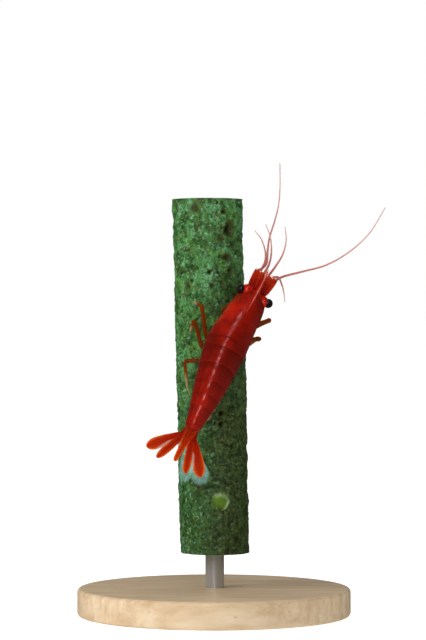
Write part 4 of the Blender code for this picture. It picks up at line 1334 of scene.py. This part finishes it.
# %% Stem blank
BUD_ANGLE, BUD_HEIGHT, BUD_RADIUS = 11.0, 14.7, 1.2
HOLLOWS = ((27.0, 51.5, 0.4, 0.5), (-22.0, 51.9, 0.75, 0.3), (37.0, 49.2, 1.0, 0.5),
           (22.0, 48.1, 0.7, 0.28), (32.0, 45.7, 0.7, 0.4), (39.0, 44.0, 0.5, 0.4),
           (1.0, 43.8, 0.35, 0.4), (-38.0, 42.1, 0.6, 0.32), (23.0, 42.2, 0.6, 0.25),
           (16.0, 26.0, 0.45, 0.5), (15.0, 24.6, 0.4, 0.45), (-25.0, 16.7, 0.5, 0.35),
           (150.0, 47.0, 0.8, 0.4), (-120.0, 40.0, 0.9, 0.4), (170.0, 25.0, 0.7, 0.35),
           (-160.0, 33.0, 0.6, 0.4), (100.0, 19.0, 0.8, 0.35))     # angle, height, width, depth
CAP_REACH, FOOT_RISE, BARK_ROOM = 0.985, 0.25, 0.03      # share of the radius, then mm


def stem_blank(columns=244, rows=372, cap_rings=10):
    """Smooth stem with closed ends, each point's share of the bark and its reach from the core."""
    a = 2 * np.pi * np.arange(columns) / columns
    around = np.stack([np.sin(a), -np.cos(a), np.zeros(columns)], -1)
    rings = []
    for share in np.linspace(0.0, 1.0, cap_rings, endpoint=False)[1:]:
        rings.append((STEM_BOTTOM + FOOT_RISE * (1 - share), share * CAP_REACH, 0.0))
    for z in np.linspace(STEM_BOTTOM, STEM_TOP, rows):
        rings.append((z, 1.0, 1.0))
    for share in np.linspace(1.0, 0.0, cap_rings, endpoint=False)[1:]:
        rings.append((STEM_TOP, share * CAP_REACH, 0.0))
    points = [stem_axis(z) + around * (STEM_RADIUS - BARK_ROOM) * reach for z, reach, _ in rings]
    _, cores, levels = np.repeat(np.array(rings), columns, axis=0).T
    return np.array(points) * MM, levels, cores


rings, level, core = stem_blank()
print("stem blank:", rings.shape[0], "rings of", rings.shape[1])

# %% Bark tree
def bark_tree():
    """Pushes a smooth stem's points in and out, and stores its pits and its lumps."""
    tree, given, keys = open_tree("raise_bark", "Bark", Stem="Geometry", Swell="Float",
                                  Bump="Float", Pit="Float", Seed="Float", Finish="Material")
    place = add(tree, "GeometryNodeInputPosition")
    out = add(tree, "GeometryNodeInputNamedAttribute", {"Name": "outwards"},
              data_type="FLOAT_VECTOR")
    level = add(tree, "GeometryNodeInputNamedAttribute", {"Name": "level"})
    swell, lumps, grit, patches = [
        add(tree, "ShaderNodeTexNoise", {"Vector": place, "W": given["Seed"], "Detail": detail,
                                         "Scale": 1 / (size * MM), "Roughness": 0.6},
            noise_dimensions="4D")
        for size, detail in ((7.0, 1.0), (1.25, 2.0), (0.4, 3.0), (1.9, 1.0))]     # sizes in mm
    raised = 0.0
    for wave, height, share in ((swell, "Swell", 1.0), (lumps, "Bump", 1.5), (grit, "Bump", 0.75)):
        centred = add(tree, "ShaderNodeMath", {0: wave, 1: 0.5}, operation="SUBTRACT")
        most = add(tree, "ShaderNodeMath", {0: given[height], 1: share}, operation="MULTIPLY")
        raised = add(tree, "ShaderNodeMath", {0: centred, 1: most, 2: raised},
                     operation="MULTIPLY_ADD")
    stray = add(tree, "ShaderNodeTexNoise",
                {"Vector": place, "Scale": 1 / (0.6 * MM), "Detail": 2.0}).outputs["Color"]
    shaken = add(tree, "ShaderNodeVectorMath", {0: stray, 1: (0.6 * MM,) * 3, 2: place},
                 operation="MULTIPLY_ADD")
    cells = add(tree, "ShaderNodeTexVoronoi", {"Vector": shaken, "W": given["Seed"],
                                               "Scale": 1 / (1.35 * MM)}, voronoi_dimensions="4D")
    hole = add(tree, "ShaderNodeMapRange",
               {"Value": cells, "From Min": 0.10, "From Max": 0.32, "To Min": 1.0, "To Max": 0.0},
               interpolation_type="SMOOTHSTEP")
    some = add(tree, "ShaderNodeMapRange", {"Value": patches, "From Min": 0.46, "From Max": 0.58})
    pit = add(tree, "ShaderNodeMath", {0: hole, 1: some}, operation="MULTIPLY")
    depth = add(tree, "ShaderNodeMath", {0: pit, 1: given["Pit"]}, operation="MULTIPLY")
    net = add(tree, "ShaderNodeMath", {0: raised, 1: depth}, operation="SUBTRACT")
    kept = add(tree, "ShaderNodeMath", {0: net, 1: level}, operation="MULTIPLY")
    shift = add(tree, "ShaderNodeVectorMath", {0: out, "Scale": kept}, operation="SCALE")
    bark = add(tree, "GeometryNodeSetPosition", {"Geometry": given["Stem"], "Offset": shift})
    for stored, value in (("pit", pit), ("lump", lumps)):
        bark = add(tree, "GeometryNodeStoreNamedAttribute",
                   {"Geometry": bark, "Name": stored, "Value": value},
                   data_type="FLOAT", domain="POINT")
    close_tree(tree, bark, "Bark", given["Finish"])
    return tree, keys


BARK_TREE = bark_tree()
print("bark tree inputs:", BARK_TREE[1])

# %% Stem finish
def bark_finish():
    """Bark: paints laid over a noisy green, each where something lies between two levels; some
    paint light and shade.
    """
    made, tree = new_finish("green_bark")
    place = add(tree, "ShaderNodeTexCoord").outputs["Object"]
    pit, bud, core, hollow, lump, bud_rim_highlight = [
        add(tree, "ShaderNodeAttribute", attribute_name=stored).outputs["Fac"]
        for stored in ("pit", "bud", "core", "hollow", "lump", "bud_rim_highlight")]
    grain = {size: add(tree, "ShaderNodeTexNoise", {"Vector": place, "Scale": 1 / (size * MM),
                                                    "Detail": detail, "Roughness": 0.65})
             for size, detail in ((2.4, 5.0), (3.6, 4.0), (1.3, 3.0), (0.8, 4.0), (0.32, 4.0),
                                  (0.65, 5.0), (0.42, 3.0), (0.17, 3.0), (0.7, 3.0), (0.35, 3.0),
                                  (0.3, 5.0))}       # by size in mm
    at = add(tree, "ShaderNodeSeparateXYZ", {"Vector": place}).outputs
    # painted shade: darker towards the foot and the right of the stem
    low = add(tree, "ShaderNodeMapRange",
              {"Value": at["Z"], "From Min": 42 * MM, "From Max": 25 * MM})
    right = add(tree, "ShaderNodeMapRange",
                {"Value": at["X"], "From Min": -2.4 * MM, "From Max": 1.4 * MM, "To Max": 0.85})
    shade = add(tree, "ShaderNodeMath", {0: low, 1: right}, operation="MULTIPLY")
    # painted sparkles, tiny wet glints, show less where the painted shade lies
    painted_sparkle_share = add(tree, "ShaderNodeMath", {0: shade, 1: -0.75, 2: 0.75}, operation="MULTIPLY_ADD")
    # painted shade in the pits and hollows
    deep = add(tree, "ShaderNodeMath", {0: pit, 1: hollow}, operation="MAXIMUM")
    colour = add(tree, "ShaderNodeValToRGB", {"Fac": grain[2.4]})
    set_stops(colour, ((0.32, "#28541f"), (0.46, "#40742e"), (0.58, "#4b8646"), (0.72, "#60a06a")))
    for source, start, end, most, paint in (
            (grain[3.6], 0.52, 0.64, 0.75, "#4f8c28"), (grain[1.3], 0.56, 0.68, 0.85, "#46501c"),
            # painted light: a paler green on the lumps' tops; then the painted shade
            (lump, 0.54, 0.68, 0.6, "#5ea262"), (shade, 0.0, 1.0, 1.0, "#46501c"),
            # darker again towards the foot, then dark flecks
            (at["Z"], 34 * MM, 20 * MM, 0.55, "#1e401a"), (grain[0.8], 0.49, 0.36, 0.85, "#161f06"),
            (grain[0.32], 0.50, 0.38, 0.75, "#182c10"), (grain[0.65], 0.50, 0.66, 0.4, "#626c2c"),
            # painted shade in the lumps' troughs; then painted sparkles
            (lump, 0.50, 0.36, 0.65, "#16340f"), (grain[0.42], 0.55, 0.70, painted_sparkle_share, "#86bc94"),
            # painted sparkles, then dark specks where the painted shade lies
            (grain[0.17], 0.66, 0.76, painted_sparkle_share, "#b8dec4"), (grain[0.7], 0.50, 0.34, shade, "#12180a"),
            # olive specks where the painted shade lies, then painted shade in the pits and hollows
            (grain[0.35], 0.55, 0.72, shade, "#707c44"), (deep, 0.05, 0.5, 0.85, "#3c3e10"),
            # near black painted shade at their deepest, then the bud's own green
            (deep, 0.6, 0.95, 0.9, "#0c1206"), (bud, 0.0, 1.0, 1.0, "#50700a"),
            # painted highlight on the bud's upper rim and a painted glint on its right side
            (bud_rim_highlight, 0.0, 1.0, 1.0, "#94b47c")):
        share = add(tree, "ShaderNodeMapRange",
                    {"Value": source, "From Min": start, "From Max": end, "To Max": most})
        colour = add(tree, "ShaderNodeMix", {0: share, 6: colour, 7: linear(paint)},
                     data_type="RGBA")
    rings = add(tree, "ShaderNodeValToRGB", {"Fac": core})
    set_stops(rings, ((0.0, "#c8c490"), (0.55, "#b4bc7c"), (0.80, "#8ca860"), (0.97, "#587c40")))
    on_cut = add(tree, "ShaderNodeMath", {0: core, 1: 0.9999}, operation="LESS_THAN")
    colour = add(tree, "ShaderNodeMix", {0: on_cut, 6: colour, 7: rings}, data_type="RGBA")
    skin = skin_over(tree, colour, grain[0.3], 1.0, 0.16, {"Roughness": 0.36, "IOR": 1.4})
    add(tree, "ShaderNodeOutputMaterial", {"Surface": skin})
    return made


BARK = bark_finish()
print("bark finish:", BARK.name)

# %% Cut bud
points, faces = tube(rings)
across = points / MM - stem_axis(points[:, 2] / MM)
across[:, 2] = 0.0
outwards = across / np.maximum(np.linalg.norm(across, axis=1), 1e-6)[:, None]
level = np.append(level, [0.0, 0.0])
core = np.append(core, [0.0, 0.0])
from_bud = (points - on_stem(BUD_ANGLE, BUD_HEIGHT, -0.35)) / (BUD_RADIUS * MM)
distance = np.linalg.norm(from_bud, axis=1)
bud = smooth(-distance, -1.1, -0.6) * level
up_bud = from_bud @ np.array([0.5, 0.0, 0.87])
right_bud = from_bud @ np.array([0.94, 0.0, -0.34])
ragged = np.sin(points[:, 0] / (0.09 * MM)) * np.sin(points[:, 2] / (0.13 * MM))
# painted highlight: pale on the bud's upper rim, with a painted glint on its right side
bud_rim_highlight = (0.65 + 0.3 * ragged) * bump_at(distance, 0.86, 0.2) * smooth(up_bud, -0.1, 0.6) * level
bud_rim_highlight = np.maximum(bud_rim_highlight, bump_at(right_bud, 0.72, 0.16) * smooth(-distance, -1.0, -0.8) * level)
points = points + outwards * ((np.clip(1 - distance ** 2, 0, 1) ** 0.6 * (0.5 + 0.3 * up_bud)
                               - 0.12 * bump_at(distance, 1.12, 0.14)) * MM
                              * (level > 0))[:, None]
print("bud covers", int((bud > 0.5).sum()), "points")

# %% Hollows
hollow = np.zeros(len(points))
for angle, height, wide, deep in HOLLOWS:
    away = (points - on_stem(angle, height)) / (wide * MM)
    round_it = np.arctan2(away[:, 2], away[:, 0])
    ragged = (1 + 0.16 * np.sin(2 * round_it + height) + 0.1 * np.sin(3 * round_it + 2 * height)
              + 0.07 * np.sin(5 * round_it - height))
    reach = np.linalg.norm(away, axis=1) / ragged
    points = points - outwards * (np.exp(-(reach * 1.5) ** 4) * level * deep * MM)[:, None]
    hollow = np.maximum(hollow, np.exp(-(reach * 1.15) ** 2) * level * min(1.0, deep * 2.2))
print("hollows:", len(HOLLOWS))

# %% Stem
# the bud's green fades out on its lower side, where the stem's darker paint shows as painted shade
stored = {"level": level * (1 - 0.8 * bud), "core": core, "bud": bud * smooth(up_bud, -0.95, 0.0),
          "bud_rim_highlight": bud_rim_highlight, "hollow": hollow, "outwards": outwards}
stem = run_tree("perch_stem_bark", points, [], stored, BARK_TREE,
                {"Swell": 0.35 * MM, "Bump": 0.42 * MM, "Pit": 0.34 * MM, "Seed": 3.7,
                 "Finish": BARK}, "stem", "perch_stem", faces=faces)
face_outwards(stem.data)
stem.data.set_sharp_from_angle(angle=math.radians(60))
print("stem:", len(stem.data.polygons), "faces")

# %% [markdown]
# ## Display stand
# The stand is plain on purpose: a flat disc of beech with a rounded edge and one steel rod.
# Both are turned shapes. Beech has a straight pale grain with short dark flecks; the steel
# was brushed round the rod while it turned, so its scratches run round it.

# %% Beech and steel
def beech_finish():
    """Pale beech under lacquer: long grain and short dark flecks, along x."""
    made, tree = new_finish("lacquered_beech")
    place = add(tree, "ShaderNodeTexCoord").outputs["Object"]
    stretch = add(tree, "ShaderNodeMapping", {"Vector": place, "Scale": (0.10, 1.0, 0.6)})
    grain = add(tree, "ShaderNodeTexNoise", {"Vector": stretch, "Scale": 1 / (1.1 * MM),
                                             "Detail": 6.0, "Roughness": 0.6, "Distortion": 0.3})
    ramp = add(tree, "ShaderNodeValToRGB", {"Fac": grain})
    set_stops(ramp, ((0.32, "#c9a880"), (0.5, "#d8bd98"), (0.68, "#e3ccab")))
    fleck_map = add(tree, "ShaderNodeMapping", {"Vector": place, "Scale": (0.22, 1.0, 0.5)})
    flecks = add(tree, "ShaderNodeTexVoronoi", {"Vector": fleck_map, "Scale": 1 / (0.5 * MM)})
    few = add(tree, "ShaderNodeMapRange",
              {"Value": flecks, "From Min": 0.06, "From Max": 0.2, "To Min": 0.5, "To Max": 0.0})
    colour = add(tree, "ShaderNodeMix", {0: few, 6: ramp, 7: linear("#a9835a")}, data_type="RGBA")
    skin = skin_over(tree, colour, grain, 0.2, 0.04, {
        "Roughness": 0.42, "IOR": 1.5, "Coat Weight": 0.3, "Coat Roughness": 0.2})
    add(tree, "ShaderNodeOutputMaterial", {"Surface": skin})
    return made


def steel_finish():
    """Steel with fine scratches round the rod."""
    made, tree = new_finish("brushed_stainless_steel")
    place = add(tree, "ShaderNodeTexCoord").outputs["Object"]
    stretch = add(tree, "ShaderNodeMapping", {"Vector": place, "Scale": (0.3, 0.3, 8.0)})
    scratches = add(tree, "ShaderNodeTexNoise",
                    {"Vector": stretch, "Scale": 1 / (0.8 * MM), "Detail": 3.0})
    rough = add(tree, "ShaderNodeMapRange", {"Value": scratches, "To Min": 0.24, "To Max": 0.46})
    skin = skin_over(tree, linear("#c4c6c9"), scratches, 0.15, 0.01,
                     {"Metallic": 0.7, "Roughness": rough})
    add(tree, "ShaderNodeOutputMaterial", {"Surface": skin})
    return made


BEECH, STEEL = beech_finish(), steel_finish()
print("stand finishes:", BEECH.name, STEEL.name)

# %% Base and rod
def rounded_profile(radius, low, high, edge, steps=8):
    """(height, radius) pairs of a disc or rod with rounded edges."""
    arc = np.linspace(0, math.pi / 2, steps)
    lower = [(low + edge * (1 - math.cos(a)), radius - edge * (1 - math.sin(a))) for a in arc]
    return lower + [(low + high - z, r) for z, r in reversed(lower)]


base_low, base_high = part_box("stand_base")
rod_low, rod_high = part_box("stand_rod")
base_radius = (base_high.x - base_low.x) / 2 / MM
profile = [(0.0, 0.3 * base_radius)] + rounded_profile(base_radius, 0.0, base_high.z / MM, 0.5)
profile.append((base_high.z / MM, 0.3 * base_radius))
UPRIGHT = np.array([0.0, 0.0, 1.0])
piece("stand_base_disc", turned_shape(np.zeros(3), UPRIGHT, profile, 160), BEECH, "wood",
      "stand_base", sharp=50.0)
rod_radius = (rod_high.x - rod_low.x) / 2 / MM
middle = np.array([(rod_low.x + rod_high.x) / 2, (rod_low.y + rod_high.y) / 2, 0.0])
profile = rounded_profile(rod_radius, rod_low.z / MM, rod_high.z / MM, 0.15)
piece("stand_rod_steel", turned_shape(middle, UPRIGHT, profile, 64), STEEL, "steel", "stand_rod",
      sharp=50.0)
print("base radius:", round(base_radius, 1), "mm, rod radius:", round(rod_radius, 2), "mm")

# %% [markdown]
# ## Setting the pieces on the frame
# Every piece rides on the one body and stands for its solids.

# %% Ride and replace
for made, slot, nodes in pieces:
    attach(made, "root")
    if nodes:
        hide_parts(*nodes)
triangles = sum(sum(len(p.vertices) - 2 for p in made.data.polygons) for made, _, _ in pieces)
print("pieces:", len(pieces), "triangles:", triangles, "largest:",
      max((sum(len(p.vertices) - 2 for p in m.data.polygons), m.name) for m, _, _ in pieces))

# %% [markdown]
# ## Studio
# The animal stands in a white room with a low floor. Three lights in a row give the wet streak
# down the back. A broad soft one on the left shows no reflection of its own, and the bright
# room behind glows through the thin leaves of the tail.

# %% Floor
floor_mesh = bpy.data.meshes.new("studio_floor")
floor_mesh.from_pydata([(-3, -3, 0), (3, -3, 0), (3, 3, 0), (-3, 3, 0)], [], [(0, 1, 2, 3)])
floor = put("studio_floor", floor_mesh)
floor_finish, tree = new_finish("white_studio_floor")
paper = add(tree, "ShaderNodeBsdfPrincipled",
            {"Base Color": (0.6, 0.6, 0.6, 1), "Roughness": 0.8,
             "Specular IOR Level": 0.1, "Emission Color": (1, 1, 1, 1), "Emission Strength": 0.72})
add(tree, "ShaderNodeOutputMaterial", {"Surface": paper})
floor_mesh.materials.append(floor_finish)
floor.visible_glossy = False
print("floor finish:", floor_finish.name)

# %% Light of the room
world = bpy.data.worlds.new("studio")
world.use_nodes = True
bpy.context.scene.world = world
tree = world.node_tree
tree.nodes.clear()
way = add(tree, "ShaderNodeSeparateXYZ",
          {"Vector": add(tree, "ShaderNodeTexCoord").outputs["Generated"]}).outputs
behind, above = [
    add(tree, "ShaderNodeMapRange", {"Value": way[axis], "From Min": low, "From Max": high,
                                     "To Min": least, "To Max": most})
    for axis, low, high, least, most in (("Y", 0.1, 0.85, 0.08, 1.1), ("Z", 0.35, 0.95, 0.0, 0.5))]
glow = add(tree, "ShaderNodeMath", {0: behind, 1: above}, operation="ADD")
lighting, seen, mirrored = [
    add(tree, "ShaderNodeBackground", {"Color": (1, 1, 1, 1), "Strength": strength})
    for strength in (glow, 1.0, 0.03)]
path_kind = add(tree, "ShaderNodeLightPath").outputs
indirect = add(tree, "ShaderNodeMixShader",
               {0: path_kind["Is Glossy Ray"], 1: lighting, 2: mirrored})
both = add(tree, "ShaderNodeMixShader", {0: path_kind["Is Camera Ray"], 1: indirect, 2: seen})
add(tree, "ShaderNodeOutputWorld", {"Surface": both})
print("room light:", len(tree.nodes), "nodes")

# %% Soft lights
def soft_light(name, place, target, upright, width, height, power):
    """Rectangular soft light at a place in mm, aimed at a target, its height along upright."""
    lamp = bpy.data.lights.new(name, "AREA")
    lamp.shape = "RECTANGLE"
    lamp.size, lamp.size_y = width * MM, height * MM
    lamp.energy = power
    made = put(name, lamp)
    made.location = Vector(place) * MM
    back = (Vector(place) - Vector(target)).normalized()
    across = Vector(upright).cross(back).normalized()
    made.rotation_euler = Matrix((across, back.cross(across), back)).transposed().to_euler()
    return made


soft_light("front_glint", (44, -176, 270), (3, -9, 38), (-0.02, 0.78, 0.62), 54, 60, 0.07)
soft_light("middle_glint", (-11, -240, 205), (1, -9, 35), (0.03, 0.61, 0.79), 76, 28, 0.085)
soft_light("rear_glint", (-60, -285, 99), (-1, -10, 29), (0.05, 0.24, 0.97), 72, 34, 0.105)
key_light = soft_light("key_light", (-340, -160, 200), (0, -4, 30), (0, 0, 1), 160, 160, 0.9)
key_light.visible_glossy = False
print("key light stands", round(key_light.location.length / MM), "mm from the base")

# %% Camera
LENS, SENSOR = 144.9, 36.0       # mm
CAMERA_PLACE = (-0.125, -330.0, 37.75)
camera_data = bpy.data.cameras.new("view")
camera_data.lens, camera_data.sensor_width = LENS, SENSOR
camera_data.clip_start, camera_data.clip_end = 0.005, 20.0
camera = put("view", camera_data)
camera.location = [c * MM for c in CAMERA_PLACE]
camera.rotation_euler = (math.radians(90), 0.0, 0.0)
bpy.context.scene.camera = camera
bpy.context.scene.view_settings.view_transform = "Standard"
print("camera:", LENS, "mm lens")
